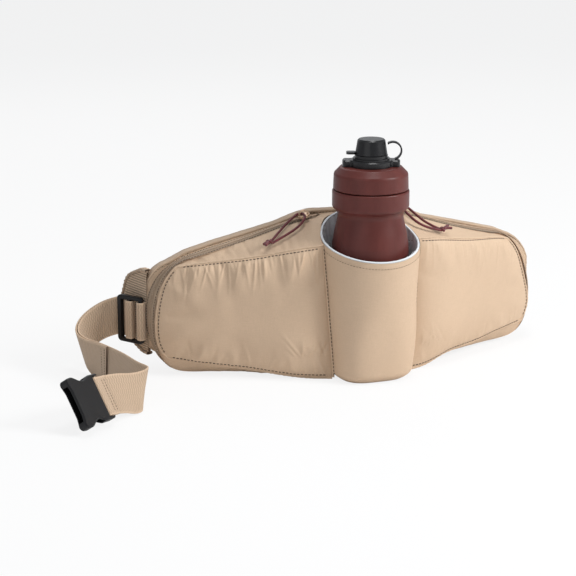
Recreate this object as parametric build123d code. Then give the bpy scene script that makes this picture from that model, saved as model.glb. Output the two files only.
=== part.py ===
from build123d import *

import os
from functools import cache
from math import cos, radians, sin, sqrt, tan

# Waist pack with a bottle sleeve between two zipped pockets. Millimetres.
# +X runs along the belt, -Y is the outer side, the wearer stands at +Y and +Z is up.
# The origin is the centre of the sleeve's base, on the surface the pack stands on.

# Back panel
PANEL_RADIUS = 1000.0          # plan radius of the panel's outer face
PANEL_Y = 50.0                 # outer face at the centre
PANEL_END = 203.0              # half length of the stiff part
WALL, FOAM, MESH = 1.5, 5.5, 3.0
PANEL_DEPTH = WALL + FOAM + MESH
PANEL_OUTLINE = [(50, 155), (196, 108), (216, 62), (206, 20), (90, 5)]
PANEL_ROUNDS = [60, 30, 30, 30, 60]

# Wing flaps, the padded ends that wrap on past the pockets
FLAP_LENGTH, FLAP_DEPTH = 37.0, 5.0
FLAP_LOW, FLAP_HIGH = 17.0, 104.0
FLAP_TURN = {"left": 71.0, "right": 118.0}
TRIGLIDE_TURN = {"left": 54.0, "right": 118.0}

# Pockets
SWEEP = 22.0                   # how far each pocket front turns back from the X axis
SEAM_X, SEAM_Y = 49.0, -5.0    # where a pocket front meets the sleeve
POCKET_END = 200.0
FRONT_TOP, FRONT_SLOPE = 134.0, -0.175
RIDGE_Y, RIDGE_TOP, RIDGE_SLOPE = 31.0, 150.5, -0.30
BACK_TOP, BACK_SLOPE = 154.0, -0.31
HIGHEST = 154.5
BOTTOM_SLOPE, BOTTOM_Z, INNER_X = 0.108, 0.6, 20.0
SKIN = 1.6
SECTION_ENDS, SECTION_BACK = (35.0, 210.0), 95.0
CORNER, CORNER_RISE, CORNER_FALL = 26.0, 1.5, 0.2
FRONT_ROUND = 8.0
GUSSET_STEP = 4.0              # the front panel's turned edge

# Zip
ZIP_LINE = 11.0                # coil centre, ahead of the panel's outer face
ZIP_HALF = 7.0
COIL_HALF, COIL_HEIGHT = 1.9, 1.1
ZIP_START, ZIP_STOP_Z = 36.0, 30.0
SLIDER_X = {"left": 53.0, "right": 44.0}
SLIDER_LENGTH, SLIDER_WIDTH, PLATE = 12.0, 9.5, 1.5
SLIDER_TRAVEL = 104.0
SLIDER_LIFT = 0.5

# Pull cords
CORD = 2.5
KNOT = 6.6

# Bottle sleeve
SLEEVE_BASE_R, SLEEVE_TOP_R, SLEEVE_H = 43.5, 50.2, 160.0
MOUTH_Z, MOUTH_SLOPE = 133.0, 0.29
SHELL, PADDING, LINING = 1.2, 2.6, 0.8
RIM = 5.0
BASE_FLOOR, BASE_PAD = 2.0, 5.7

# Bottle
BOTTLE_R, BOTTLE_WALL = 37.2, 2.0
BOTTLE_FOOT = 8.0
SHOULDER_Z, WAIST_Z, COLLAR_Z, COLLAR_TOP = 121.0, 158.5, 166.5, 182.5
WAIST_R, COLLAR_R = 31.3, 36.9
NECK_R, NECK_BORE, NECK_TOP = 31.4, 28.8, 195.0
LID_LOW, LID_EDGE, LID_TOP = 183.5, 198.5, 205.0
LID_R, LID_EDGE_R, LID_TOP_R = 36.0, 35.4, 29.0
VALVE_TURN = -19.0
VALVE_TOP = LID_TOP + 8.0
RING_TOP = VALVE_TOP + 3.0
NOZZLE_RISE = 10.0
CAP_LOW, CAP_R, CAP_TOP_R = RING_TOP + 0.6, 15.4, 13.2
CAP_TOP = RING_TOP + NOZZLE_RISE + 5.0
WINGS_R = 20.5
NOZZLE_R, NOZZLE_TOP = 8.0, RING_TOP + NOZZLE_RISE

# Belt
WEB, WEB_T = 38.0, 1.8
GLIDE_W, GLIDE_H, GLIDE_T = 31.0, 47.0, 4.6
GLIDE_BAR, GLIDE_MID = 5.0, 4.0
GLIDE_ROD, GLIDE_HINGE = 2.4, -13.0
HINGES = {"left": (210.2, 70.3), "right": (198.3, 109.3)}
ROOTS = {"left": (203.3, 73.1), "right": (199.3, 100.7)}     # sewn ends of the anchors
GLIDE_Z = 52.0
GAP = 0.4
SEWN = 14.0                    # sewn end of the webbing, up to the buckle's bar
BUCKLE_ROD = 1.9
TAIL_STATIONS = {"left": 8, "right": 6}
TAIL_SIDE = {"left": 1, "right": 1}

# Side-release buckle
BUCKLE_W, BUCKLE_T = 46.0, 10.0
SOCKET_BACK, MOUTH_W, MOUTH_T = 9.4, 34.0, 6.0
PLUG_T, PLUG_ROOT = 5.2, 12.0

NODES = {}


def keep(name, shape):
    """Store one sub-part under its node name."""
    shape.label = name
    NODES[name] = shape


def panel_y(x, behind=0.0):
    """Y of the surface that lies this far behind the panel's outer face."""
    return PANEL_Y + PANEL_RADIUS - sqrt((PANEL_RADIUS - behind) ** 2 - x**2)


def layer(front, back, reach=260.0):
    """Curved slab between two depths behind the panel's outer face."""
    ring = Circle(PANEL_RADIUS - front) - Circle(PANEL_RADIUS - back)
    strip = Pos(0, PANEL_Y + PANEL_RADIUS) * ring
    strip &= Pos(0, PANEL_Y + 40) * Rectangle(2 * reach, 200)
    return Pos(0, 0, -30) * extrude(strip, 230)


def panel_outline(grow=0.0):
    """Front-view outline of the whole back panel, pushed out by grow."""
    right = list(PANEL_OUTLINE)
    left = [(-x, z) for x, z in reversed(right)]
    rounds = PANEL_ROUNDS + list(reversed(PANEL_ROUNDS))
    wire = FilletPolyline(*(right + left), radius=rounds, close=True)
    face = Plane.XZ * make_face(wire)
    if grow:
        face = Plane.XZ * offset(make_face(wire), grow)
    return extrude(face, 200, both=True)


def stiff_zone(grow=0.0):
    """Space between the two bends where the panel's ends turn back."""
    return Pos(0, 60, 80) * Box(2 * (PANEL_END + grow), 200, 300)


def back_panel():
    """Padded panel against the wearer: wall, foam and spacer mesh in a bound edge."""
    outline = panel_outline() & stiff_zone()
    keep("back_wall", outline & layer(0, WALL))
    keep("back_foam", outline & layer(WALL, WALL + FOAM))
    keep("back_mesh", outline & layer(WALL + FOAM, PANEL_DEPTH))
    rim = panel_outline(1.4) & stiff_zone() & layer(-0.2, PANEL_DEPTH + 1)
    rim -= outline & layer(0, PANEL_DEPTH)
    rim -= panel_outline(-6) & layer(-5, PANEL_DEPTH + 5)
    rim -= pocket_block("right", -0.1) + pocket_block("left", -0.1)
    rim -= sleeve_cone(0.1)
    keep("back_binding", rim)


def pocket_heights(x):
    """Front face, its top, ridge and ridge top, and the top at the back, of a section at x."""
    front = SEAM_Y + tan(radians(SWEEP)) * (x - SEAM_X)
    front_z = FRONT_TOP + FRONT_SLOPE * (x - SEAM_X)
    ridge = max(RIDGE_Y + 0.194 * (x - SEAM_X), front + 4)
    ridge_z = max(min(RIDGE_TOP + RIDGE_SLOPE * (x - SEAM_X), HIGHEST), front_z)
    back_z = min(BACK_TOP + BACK_SLOPE * (x - SEAM_X), HIGHEST)
    return front, front_z, ridge, ridge_z, back_z


def pocket_section(x, inset):
    """Five-sided section of a pocket across the belt at x."""
    front, front_z, ridge, ridge_z, back_z = pocket_heights(x)
    front += inset / cos(radians(SWEEP))
    low = BOTTOM_Z + BOTTOM_SLOPE * (x - INNER_X) + inset
    points = [(front, low), (front, front_z - inset), (ridge, ridge_z - inset),
              (SECTION_BACK, back_z - inset), (SECTION_BACK, low)]
    return Plane(origin=(x, 0, 0), x_dir=(0, 1, 0), z_dir=(1, 0, 0)) * make_face(
        Polyline(*points, close=True)
    )


def pocket_end(inset):
    """Front-view prism that rounds off a pocket's outer end."""
    end = POCKET_END - inset
    head = FRONT_TOP + FRONT_SLOPE * (end - SEAM_X) + CORNER_RISE - inset
    foot = BOTTOM_Z + BOTTOM_SLOPE * (end - INNER_X) - 0.5 + inset
    wire = FilletPolyline(
        (end, head), (end, foot), (0, foot - end * CORNER_FALL), (0, head + end * 0.3),
        radius=[CORNER - inset, CORNER - inset, 1, 1], close=True,
    )
    return extrude(Plane.XZ * make_face(wire), 200, both=True)


@cache
def pocket_block(side, inset=0.0):
    """Outer solid of one pocket, or the solid that lies inset below its surface."""
    stations = (INNER_X, *SECTION_ENDS)
    block = loft([pocket_section(x, inset) for x in stations], ruled=True)
    block &= pocket_end(inset)
    fronts = [f for f in block.faces() if f.normal_at().Y < -0.8]
    face = max(fronts, key=lambda f: f.area)
    edges = [e for e in face.edges() if e.center().X > SEAM_X - 10]
    block = fillet(edges, FRONT_ROUND - inset)
    block -= Pos(0, PANEL_Y + PANEL_RADIUS, 80) * Cylinder(PANEL_RADIUS, 400)
    block -= sleeve_cone(0.15)
    if side == "left":
        block = mirror(block, about=Plane.YZ)
    return block


def sleeve_cone(grow=0.0):
    """Round tapered outside of the bottle sleeve, pushed out by grow."""
    cone = Cone(SLEEVE_BASE_R + grow, SLEEVE_TOP_R + grow, SLEEVE_H)
    return Pos(0, 0, SLEEVE_H / 2) * cone


def mouth_cut(shape, lift=0.0):
    """Keep what lies below the sleeve's slanted mouth."""
    normal = (0, -MOUTH_SLOPE, 1)
    plane = Plane(origin=(0, 0, MOUTH_Z + lift), x_dir=(1, 0, 0), z_dir=normal)
    return split(shape, plane, keep=Keep.BOTTOM)


def sleeve():
    """Bottle sleeve: outer shell, padding and lining around a padded base."""
    first, second = -SHELL, -SHELL - PADDING
    third = second - LINING
    above = Pos(0, 0, BASE_FLOOR + SLEEVE_H / 2) * Box(200, 200, SLEEVE_H)
    keep("sleeve_shell", mouth_cut(sleeve_cone() - sleeve_cone(first)))
    keep("sleeve_padding", mouth_cut((sleeve_cone(first) - sleeve_cone(second)) & above))
    keep("sleeve_lining", mouth_cut((sleeve_cone(second) - sleeve_cone(third)) & above))
    band = mouth_cut(sleeve_cone(0.7) - sleeve_cone(third - 0.7), 0.8)
    band -= mouth_cut(sleeve_cone(5), -RIM)
    band -= mouth_cut(sleeve_cone() - sleeve_cone(third))
    band -= Pos(0, PANEL_Y + PANEL_RADIUS, 80) * Cylinder(PANEL_RADIUS + 0.1, 400)
    band -= pocket_block("right", -0.1) + pocket_block("left", -0.1)
    keep("sleeve_rim_binding", band)
    base = Pos(0, 0, BASE_FLOOR / 2) * Cylinder(80, BASE_FLOOR) & sleeve_cone(first)
    keep("sleeve_base", base)
    pad = Pos(0, 0, BASE_FLOOR + BASE_PAD / 2) * Cylinder(80, BASE_PAD) & sleeve_cone(third)
    keep("sleeve_base_pad", pad)


def pocket(side):
    """One zipped pocket: front panel, gusset with the zip's slot, zip tapes and coil."""
    sign = 1 if side == "right" else -1
    outer = pocket_block(side)
    skin = outer - pocket_block(side, SKIN)
    chord = Vector(cos(radians(SWEEP)), sin(radians(SWEEP)), 0)
    inward = Vector(-chord.Y, chord.X, 0) * (GUSSET_STEP + 200)
    centre = Vector(SEAM_X, SEAM_Y, 0) + chord * 60 + inward
    turned = Pos(sign * centre.X, centre.Y, 80) * (
        Rot(0, 0, sign * SWEEP) * Box(700, 400, 400)
    )
    keep(f"{side}_pocket_front", skin - turned)
    gusset = skin & turned
    run = Pos(sign * (ZIP_START + 200), 0, ZIP_STOP_Z + 100) * Box(400, 400, 200)
    slot = layer(-ZIP_LINE - ZIP_HALF, -ZIP_LINE + ZIP_HALF) & run
    keep(f"{side}_pocket_gusset", gusset - slot)
    tape = pocket_block(side, 0.4) - pocket_block(side, 1.2)
    seat = COIL_HALF + 0.1
    tape &= turned
    outer_tape = tape & run & layer(-ZIP_LINE - ZIP_HALF, -ZIP_LINE - seat)
    inner_tape = tape & run & layer(-ZIP_LINE + seat, -ZIP_LINE + ZIP_HALF)
    keep(f"{side}_zip_tape", outer_tape + inner_tape)
    coil = pocket_block(side, -COIL_HEIGHT) - pocket_block(side, 1.2)
    coil &= run & layer(-ZIP_LINE - COIL_HALF, -ZIP_LINE + COIL_HALF) & turned
    keep(f"{side}_zip_coil", coil)


def zip_point(x):
    """Point on the outer fabric above the coil's centre line, right-hand side."""
    y = PANEL_Y + PANEL_RADIUS - sqrt((PANEL_RADIUS + ZIP_LINE) ** 2 - x**2)
    first, last = SECTION_ENDS
    part = (x - first) / (last - first)
    ends = zip(pocket_heights(first), pocket_heights(last))
    front, front_z, ridge, ridge_z, back_z = (a + part * (b - a) for a, b in ends)
    if y < ridge:
        return Vector(x, y, front_z + (y - front) / (ridge - front) * (ridge_z - front_z))
    return Vector(x, y, ridge_z + (y - ridge) / (SECTION_BACK - ridge) * (back_z - ridge_z))


def slider_frame(side):
    """Axes at the slider: x along the zip away from the sleeve, z off the fabric."""
    first = SLIDER_X[side]
    start, stop = zip_point(first), zip_point(first + SLIDER_TRAVEL)
    middle = zip_point(first + SLIDER_TRAVEL / 2)
    sag = (middle - (start + stop) * 0.5) * 0.5
    along = (stop - start).normalized()
    up = along.cross(Vector(0, 1, 0.05)).normalized()
    return Plane(origin=start + sag + up * SLIDER_LIFT, x_dir=along, z_dir=up)


def slider(side):
    """Zip slider: two plates joined by cheeks, with a bridge for the pull cord."""
    low = COIL_HEIGHT + 0.6
    plate = extrude(RectangleRounded(SLIDER_LENGTH, SLIDER_WIDTH, 3.2), PLATE)
    plate = chamfer(plate.faces().sort_by(Axis.Z)[-1].edges(), 0.4)
    body = Pos(0, 0, low) * plate
    for y in (-1, 1):
        body += Pos(0, y * (SLIDER_WIDTH / 2 - 0.7), low - 0.4) * Box(8, 1.0, 1.2)
    arch = Plane.XZ * (Ellipse(5.0, 4.9) - Ellipse(3.9, 3.7))
    arch = extrude(arch, 1.2, both=True) & Pos(0, 0, 5) * Box(20, 20, 10)
    body += Pos(0, 0, low + PLATE - 0.1) * arch
    body = slider_frame(side) * body
    if side == "left":
        body = mirror(body, about=Plane.YZ)
    keep(f"{side}_zip_slider", body)


def tube(route, diameter):
    """Tube along straight runs joined by arcs as large as the runs allow."""
    points = [Vector(*p) for p in route]
    radii = []
    for a, b, c in zip(points, points[1:], points[2:]):
        turn = radians((b - a).get_angle(c - b))
        run = min((b - a).length, (c - b).length)
        radii.append(0.45 * run / tan(turn / 2))
    path = FilletPolyline(*points, radius=radii)
    start = Plane(origin=path @ 0, z_dir=path % 0)
    print("cord length", round(path.length, 1), "radii", [round(r, 1) for r in radii])
    return sweep(start * Circle(diameter / 2), path=path)


CORD_ROUTES = {
    "left": [
        (-92.2, 19.4, 132.6), (-77, 22, 138.6), (-63, 25.5, 145.4), (-54.8, 31, 151.8),
        (-54, 39, 154.3), (-57.5, 45.5, 153.4), (-64.5, 42, 150), (-77, 34, 143.6),
        (-92.2, 23, 133.4),
    ],
    "right": [
        (78.4, 10.6, 134), (66, 10.5, 137), (54, 13.5, 143), (46.4, 25, 152),
        (45.4, 38.5, 156.9), (49, 45.5, 156), (55.5, 38.5, 152.4), (60, 26, 146.3),
        (68, 17.5, 139.4), (78.4, 13.8, 134.6),
    ],
}
KNOTS = {"left": (-95, 20.8, 133.4), "right": (81.4, 12.2, 134.4)}
TAILS = {
    "left": [(-102.5, 17.2, 132), (-101, 14, 131.6)],
    "right": [(91, 20.5, 135.6), (92, 13.5, 134.4)],
}


def pull_cord(side):
    """Limp cord through the slider's bridge, closed by an overhand knot."""
    keep(f"{side}_pull_cord", tube(CORD_ROUTES[side], CORD))
    centre = Vector(*KNOTS[side])
    ways = [Vector(*tip) - centre for tip in TAILS[side]]
    pole = ways[0].cross(ways[1])
    knot = Plane(origin=centre, x_dir=-(ways[0] + ways[1]), z_dir=pole) * Sphere(KNOT / 2)
    for way in ways:
        start = Plane(origin=centre, z_dir=way)
        knot += extrude(start * Circle(CORD / 2), way.length)
    keep(f"{side}_pull_knot", knot)


def ring(outer, inner, low, high):
    """Flat-ended ring or disc around Z."""
    face = Circle(outer) - Circle(inner) if inner else Circle(outer)
    return Pos(0, 0, low) * extrude(face, high - low)


def turned(*points):
    """Solid of revolution about Z from a closed (radius, z) outline."""
    return revolve(Plane.XZ * make_face(Polyline(*points, close=True)), axis=Axis.Z)


def bottle_body():
    """Thin squeeze bottle with a waist under its collar and a plain screw neck."""
    def outline(inset, foot, neck):
        flank = Spline(
            (BOTTLE_R - inset, SHOULDER_Z), (WAIST_R - inset, WAIST_Z),
            tangents=[(0, 1), (-0.05, 1)],
        )
        line = FilletPolyline(
            (0, foot), (BOTTLE_R - inset, foot), (BOTTLE_R - inset, SHOULDER_Z),
            radius=5 - inset,
        )
        top = Polyline(
            (WAIST_R - inset, WAIST_Z), (COLLAR_R - inset, COLLAR_Z),
            (COLLAR_R - inset, COLLAR_TOP - inset), (neck, COLLAR_TOP - inset),
            (neck, NECK_TOP), (0, NECK_TOP), (0, foot),
        )
        return revolve(Plane.XZ * make_face(line + flank + top), axis=Axis.Z)

    body = outline(0, BOTTLE_FOOT, NECK_R)
    body -= outline(BOTTLE_WALL, BOTTLE_FOOT + BOTTLE_WALL, NECK_BORE)
    keep("bottle_body", body)
    keep("lid_gasket", ring(NECK_R - 0.4, NECK_BORE - 0.6, NECK_TOP + 0.2, NECK_TOP + 1.6))


def lid():
    """Screw lid: a ribless cup with a chamfered crown and a flow hole."""
    bore, roof = NECK_R + 0.6, NECK_TOP + 2.0
    cup = turned(
        (bore, LID_LOW), (LID_R, LID_LOW), (LID_EDGE_R, LID_EDGE), (LID_TOP_R, LID_TOP),
        (5, LID_TOP), (5, roof), (bore, roof),
    )
    keep("bottle_lid", cup)


def valve_axes(shape):
    """Turn a piece of the drinking valve to where its wings face."""
    return Rot(0, 0, VALVE_TURN) * shape


def valve():
    """Twist valve: winged base with a drinking nozzle, a flip cap and its tether."""
    low = LID_TOP + 0.3
    wings = Rectangle(55.0, 15.0) & Circle(27.5)
    plate = fillet((wings + Circle(WINGS_R)).vertices(), 2.5)
    base = Pos(0, 0, low) * extrude(plate, VALVE_TOP - low - 1.6)
    base = chamfer(base.faces().sort_by(Axis.Z)[-1].edges(), 1.2)
    base += ring(17.5, 0, VALVE_TOP - 1.6, VALVE_TOP) + ring(15.8, 0, VALVE_TOP, RING_TOP)
    nozzle = turned(
        (0, RING_TOP), (NOZZLE_R, RING_TOP), (NOZZLE_R - 0.6, NOZZLE_TOP - 1.5),
        (NOZZLE_R - 2.0, NOZZLE_TOP), (0, NOZZLE_TOP),
    )
    base += nozzle
    base -= ring(4.2, 0, LID_TOP - 1, NOZZLE_TOP + 1)
    keep("valve_base", valve_axes(base))
    jaw = turned((0, NOZZLE_TOP - 7), (4.1, NOZZLE_TOP - 7), (4.1, NOZZLE_TOP - 2.5),
                 (3.0, NOZZLE_TOP - 1.0), (0, NOZZLE_TOP - 1.0))
    jaw -= Pos(0, 0, NOZZLE_TOP - 2) * Box(5, 0.6, 4)
    keep("jaw_valve", valve_axes(jaw))
    cap = turned(
        (11.6, CAP_LOW), (CAP_R, CAP_LOW), (CAP_TOP_R, CAP_TOP - 1.2),
        (CAP_TOP_R - 1.2, CAP_TOP), (0, CAP_TOP), (0, CAP_TOP - 2), (11.0, CAP_TOP - 2),
    )
    tab = Pos(-19.0, 0, CAP_LOW) * extrude(RectangleRounded(9.5, 9, 3), 2.2)
    cap += tab & ring(3 * CAP_R, CAP_R - 1.9, 0, CAP_TOP + 10)
    keep("dust_cap", valve_axes(cap))
    curve = ThreePointArc((14.9, CAP_TOP - 5), (28.6, CAP_LOW + 2.9), (22.5, VALVE_TOP - 1.2))
    strap = extrude(Plane.XZ * trace(curve, 1.5), 2.6, both=True)
    strap -= ring(CAP_R + 0.3, 0, LID_TOP, CAP_TOP + 10) + base
    keep("cap_tether", valve_axes(strap))


def panel_keepout():
    """Space round the stiff panel's end that the pieces beyond it stay out of."""
    return stiff_zone(0.3) & layer(-6, PANEL_DEPTH + 2)


def heading(angle):
    """Level unit vector at this angle from +X towards +Y."""
    return Vector(cos(radians(angle)), sin(radians(angle)), 0)


def flip(side, shape):
    """Mirror a right-hand piece over to the left side when asked."""
    return mirror(shape, about=Plane.YZ) if side == "left" else shape


def wing_flap(side):
    """Padded mesh end that bends back from the panel, with a bound edge."""
    angle = FLAP_TURN[side]
    along = heading(angle)
    root = Vector(PANEL_END + 0.3, panel_y(PANEL_END) + 7.4, 0)
    bend = root + Vector(1.6, 0.8, 0)
    tip = bend + along * FLAP_LENGTH
    plan = trace(Line(bend, tip), FLAP_DEPTH)
    strip = Pos(0, 0, FLAP_LOW) * extrude(plan, FLAP_HIGH - FLAP_LOW)
    side_view = Plane(origin=bend, x_dir=along, z_dir=along.cross(Vector(0, 0, 1)))

    def profile(grow):
        end = FLAP_LENGTH + 0.5
        wire = FilletPolyline(
            (-60, FLAP_LOW + 2), (0, FLAP_LOW + 2), (end - 8, 30), (end, 62),
            (end - 12, 91), (0, FLAP_HIGH - 2), (-60, FLAP_HIGH - 2),
            radius=[1, 40, 22, 22, 22, 40, 1], close=True,
        )
        face = make_face(wire)
        if grow:
            face = offset(face, grow)
        return extrude(side_view * face, 60, both=True)

    pad = (strip & profile(0)) - panel_keepout()
    keep(f"{side}_wing_flap", flip(side, pad))
    cover = Pos(0, 0, FLAP_LOW - 3) * extrude(
        trace(Line(bend + along * 2, tip + along * 1.2), FLAP_DEPTH + 1.2),
        FLAP_HIGH - FLAP_LOW + 6,
    )
    edge = (cover & profile(1.0)) - strip - profile(-4.5)
    wrap = (cover & profile(1.0)) - profile(0)
    keep(f"{side}_flap_binding", flip(side, edge + wrap - panel_keepout()))


def glide_frame(side):
    """Axes at the tri-glide's centre: x outwards along the belt, z upwards."""
    along = heading(TRIGLIDE_TURN[side])
    centre = Vector(*HINGES[side]) + along * -GLIDE_HINGE
    return Plane(origin=(centre.X, centre.Y, GLIDE_Z), x_dir=along, z_dir=(0, 0, 1))


def triglide(side):
    """Three-bar slider for 38 mm webbing with a round inner bar."""
    half_w, half_h = GLIDE_W / 2, GLIDE_H / 2
    frame = RectangleRounded(GLIDE_W, GLIDE_H, 4.5)
    slot_h = WEB + 1.6
    for a, b in ((-half_w - 2, -GLIDE_MID / 2), (GLIDE_MID / 2, half_w - GLIDE_BAR)):
        frame -= Pos((a + b) / 2, 0) * RectangleRounded(b - a, slot_h, 1.2)
    solid = Pos(0, 0, -GLIDE_T / 2) * extrude(frame, GLIDE_T)
    solid = chamfer(solid.faces().sort_by(Axis.Z)[-1].outer_wire().edges(), 0.8)
    solid = Rot(90, 0, 0) * solid
    solid += Pos(GLIDE_HINGE, 0, 0) * Cylinder(GLIDE_ROD, half_h * 2 - 4)
    keep(f"{side}_triglide", flip(side, glide_frame(side) * solid))


def anchor(side):
    """Webbing loop sewn into the wing that the tri-glide hangs from."""
    outer = GLIDE_ROD + GAP + WEB_T
    centre, root = Vector(*HINGES[side]), Vector(*ROOTS[side])
    loop = Pos(centre.X, centre.Y) * Circle(outer)
    loop += trace(Line(root, centre), 2 * WEB_T)
    loop -= Pos(centre.X, centre.Y) * Circle(outer - WEB_T)
    web = Pos(0, 0, GLIDE_Z - WEB / 2) * extrude(loop, WEB) - panel_keepout()
    keep(f"{side}_anchor_webbing", flip(side, web))


def ribbon(stations, shift=0.0, count=30):
    """Webbing through (lower edge point, lean of its width) stations, outside by shift."""
    lows, highs = [], []
    for low, lean in stations:
        lows.append(Vector(*low))
        highs.append(lows[-1] + Vector(*lean).normalized() * WEB)
    lower, upper = Spline(*lows), Spline(*highs)
    sections = []
    for i in range(count + 1):
        t = i / count
        low, width = lower @ t, (upper @ t - lower @ t).normalized()
        way = (lower % t + upper % t).normalized()
        way = (way - width * way.dot(width)).normalized()
        outside = way.cross(width)
        middle = low + width * (WEB / 2) + outside * shift
        plane = Plane(origin=middle, x_dir=width, z_dir=way)
        sections.append(plane * Rectangle(WEB, WEB_T))
    return loft(sections, ruled=True)


# Lower edge of the webbing and the lean of its width, from the tri-glide to the buckle.
BELTS = {
    "left": [
        ((-226.5, 98, 33), (0, 0, 1)), ((-236, 102, 29.5), (-0.03, -0.03, 1)),
        ((-247, 102.5, 24), (-0.1, -0.1, 1)), ((-256, 98, 16), (-0.2, -0.1, 1)),
        ((-259, 90, 8), (-0.28, -0.12, 1)), ((-257, 78, 2), (-0.2, -0.06, 1)),
        ((-253.5, 62, 0.8), (-0.1, 0, 1)), ((-251, 40, 0.8), (0.05, 0.02, 1)),
        ((-247, 10, 0.8), (0.2, 0.05, 1)), ((-242.5, -20, 0.8), (0.3, 0.1, 1)),
        ((-239, -36, 0.8), (0.3, 0.3, 1)), ((-240, -46, 1), (0.15, 0.5, 0.95)),
        ((-247, -52, 1.4), (0, 0.5, 0.9)), ((-256, -57.4, 4.6), (-0.15, 0.5, 0.86)),
        ((-265, -62.8, 7), (-0.289, 0.494, 0.82)),
    ],
    "right": [
        ((180.8, 134.6, 33), (0, 0, 1)), ((176, 141.5, 31.5), (0, 0.03, 1)),
        ((168, 146.5, 28), (0, 0.05, 1)), ((157, 147.5, 22), (0, 0.08, 1)),
        ((144, 144.5, 14), (0, 0.1, 1)), ((130, 138.5, 7), (0, 0.12, 1)),
        ((115, 130, 2), (0, 0.12, 1)), ((100, 122.5, 1), (0, 0.1, 1)),
        ((86, 117.5, 1), (0, 0.05, 1)), ((70, 116, 1.6), (0, 0.1, 1)),
        ((56, 117, 3.2), (0, 0.12, 1)),
    ],
}


def weave(side):
    """Webbing behind the outer bar, over the middle bar and into the inner slot."""
    behind = GLIDE_T / 2 + GAP + WEB_T / 2
    inner = -GLIDE_MID / 2 - GAP - WEB_T / 2
    path = FilletPolyline(
        (GLIDE_W / 2 + 3, behind), (GLIDE_W / 2 - GLIDE_BAR - 2, behind),
        (GLIDE_MID / 2 + 1, -behind), (inner, -behind), (inner, GLIDE_T / 2),
        radius=1.5,
    )
    web = Pos(0, 0, -WEB / 2) * extrude(trace(path, WEB_T), WEB)
    return flip(side, glide_frame(side) * web)


def buckle_frame(side):
    """Axes of a buckle half: x away from its webbing, y up its width, z its outside."""
    low, lean = BELTS[side][-1]
    before = Vector(*BELTS[side][-2][0])
    width = Vector(*lean).normalized()
    way = (Vector(*low) - before).normalized()
    way = (way - width * way.dot(width)).normalized()
    middle = Vector(*low) + width * (WEB / 2)
    return Plane(origin=middle + way * SEWN, x_dir=way, z_dir=way.cross(width))


def sewn_loop(side):
    """Doubled end of the webbing, wrapped round a buckle's bar."""
    outer = BUCKLE_ROD + GAP + WEB_T
    stem = trace(Line((-SEWN, 0), (-2 * outer, 0)), 2 * WEB_T)
    sleeve = make_hull(
        (Circle(outer).edges() + (Pos(-2 * outer, 0) * Rectangle(0.2, 2 * WEB_T)).edges())
    )
    hole = make_hull(
        (Circle(outer - WEB_T).edges() + (Pos(-outer - 2, 0) * Circle(0.3)).edges())
    )
    face = stem + sleeve - hole
    web = Pos(0, 0, -WEB / 2) * extrude(face, WEB)
    return buckle_frame(side) * (Rot(90, 0, 0) * web)


def belt(side):
    """Belt webbing from the tri-glide to the buckle, with its free tail outside it."""
    web = ribbon(BELTS[side]) + weave(side) + sewn_loop(side)
    keep(f"{side}_belt_strap", web)
    count = TAIL_STATIONS[side]
    tail = ribbon(BELTS[side][:count], shift=TAIL_SIDE[side] * (WEB_T + GAP), count=18)
    keep(f"{side}_strap_tail", tail - web)


def buckle_shell(outline, thick):
    """Moulded plate of this outline with softened edges, centred on its mid-plane."""
    solid = Pos(0, 0, -thick / 2) * extrude(outline, thick)
    rims = solid.faces().sort_by(Axis.Z)
    return chamfer(rims[0].outer_wire().edges() + rims[-1].outer_wire().edges(), 1.2)


def web_slot(depth):
    """Gap that the sewn webbing turns through, and the round bar across it."""
    reach = BUCKLE_ROD + 2 * GAP + WEB_T
    gap = Pos(reach / 2 - 10, 0, 0) * Box(reach + 20, WEB + 1.6, depth)
    bar = Rot(90, 0, 0) * Cylinder(BUCKLE_ROD, WEB + 4)
    return gap, bar


def socket_outline():
    """Waisted outline: narrow behind the ears where the latch arms show."""
    half, ear, waist = BUCKLE_W / 2 - 1, BUCKLE_W / 2 + 1.5, BUCKLE_W / 2 - 5
    side = FilletPolyline(
        (-3.6, 0), (-3.6, half), (9, half), (19, waist), (29, ear), (39, ear - 1),
        (36, 12), (36, 0), radius=[2.5, 8, 8, 8, 4, 8],
    )
    return make_face(side + mirror(side, about=Plane.XZ))


def buckle_socket():
    """Female half of the side-release buckle, with open sides for the latch arms."""
    solid = buckle_shell(socket_outline(), BUCKLE_T)
    solid -= Pos(SOCKET_BACK + 30, 0, 0) * Box(60, MOUTH_W, MOUTH_T)
    window = Pos((SOCKET_BACK + 27) / 2, 0, 0) * Box(27 - SOCKET_BACK, 80, MOUTH_T)
    solid -= window
    solid -= Pos(25, 0, BUCKLE_T / 2) * extrude(RectangleRounded(12, 9, 3), -1.2)
    cut, bar = web_slot(BUCKLE_T + 2)
    return solid - cut + bar


def plug_body():
    """Male half without its latch arms: webbing bar, block and centre tongue."""
    block = buckle_shell(Pos(4.2, 0) * RectangleRounded(15.6, BUCKLE_W - 2, 3), PLUG_T + 1)
    tongue = Pos(PLUG_ROOT + 11, 0, 0) * Box(24, 7.0, PLUG_T - 2.0)
    cut, bar = web_slot(BUCKLE_T + 2)
    return block + tongue - cut + bar


def plug_arm(sign):
    """Sprung latch arm: a slim beam with a hooked, rounded head."""
    root = PLUG_ROOT + 0.4
    side = FilletPolyline(
        (root, 13.6), (root + 15, 12.6), (root + 25, 9.2), (root + 26.5, 11.6),
        (root + 16.5, 19.4), (root + 13.6, 19.2), (root + 12.4, 15.4), (root, 16.8),
        radius=0.8, close=True,
    )
    arm = Pos(0, 0, -PLUG_T / 2 + 0.6) * extrude(make_face(side), PLUG_T - 1.2)
    return arm if sign > 0 else mirror(arm, about=Plane.XZ)


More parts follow.
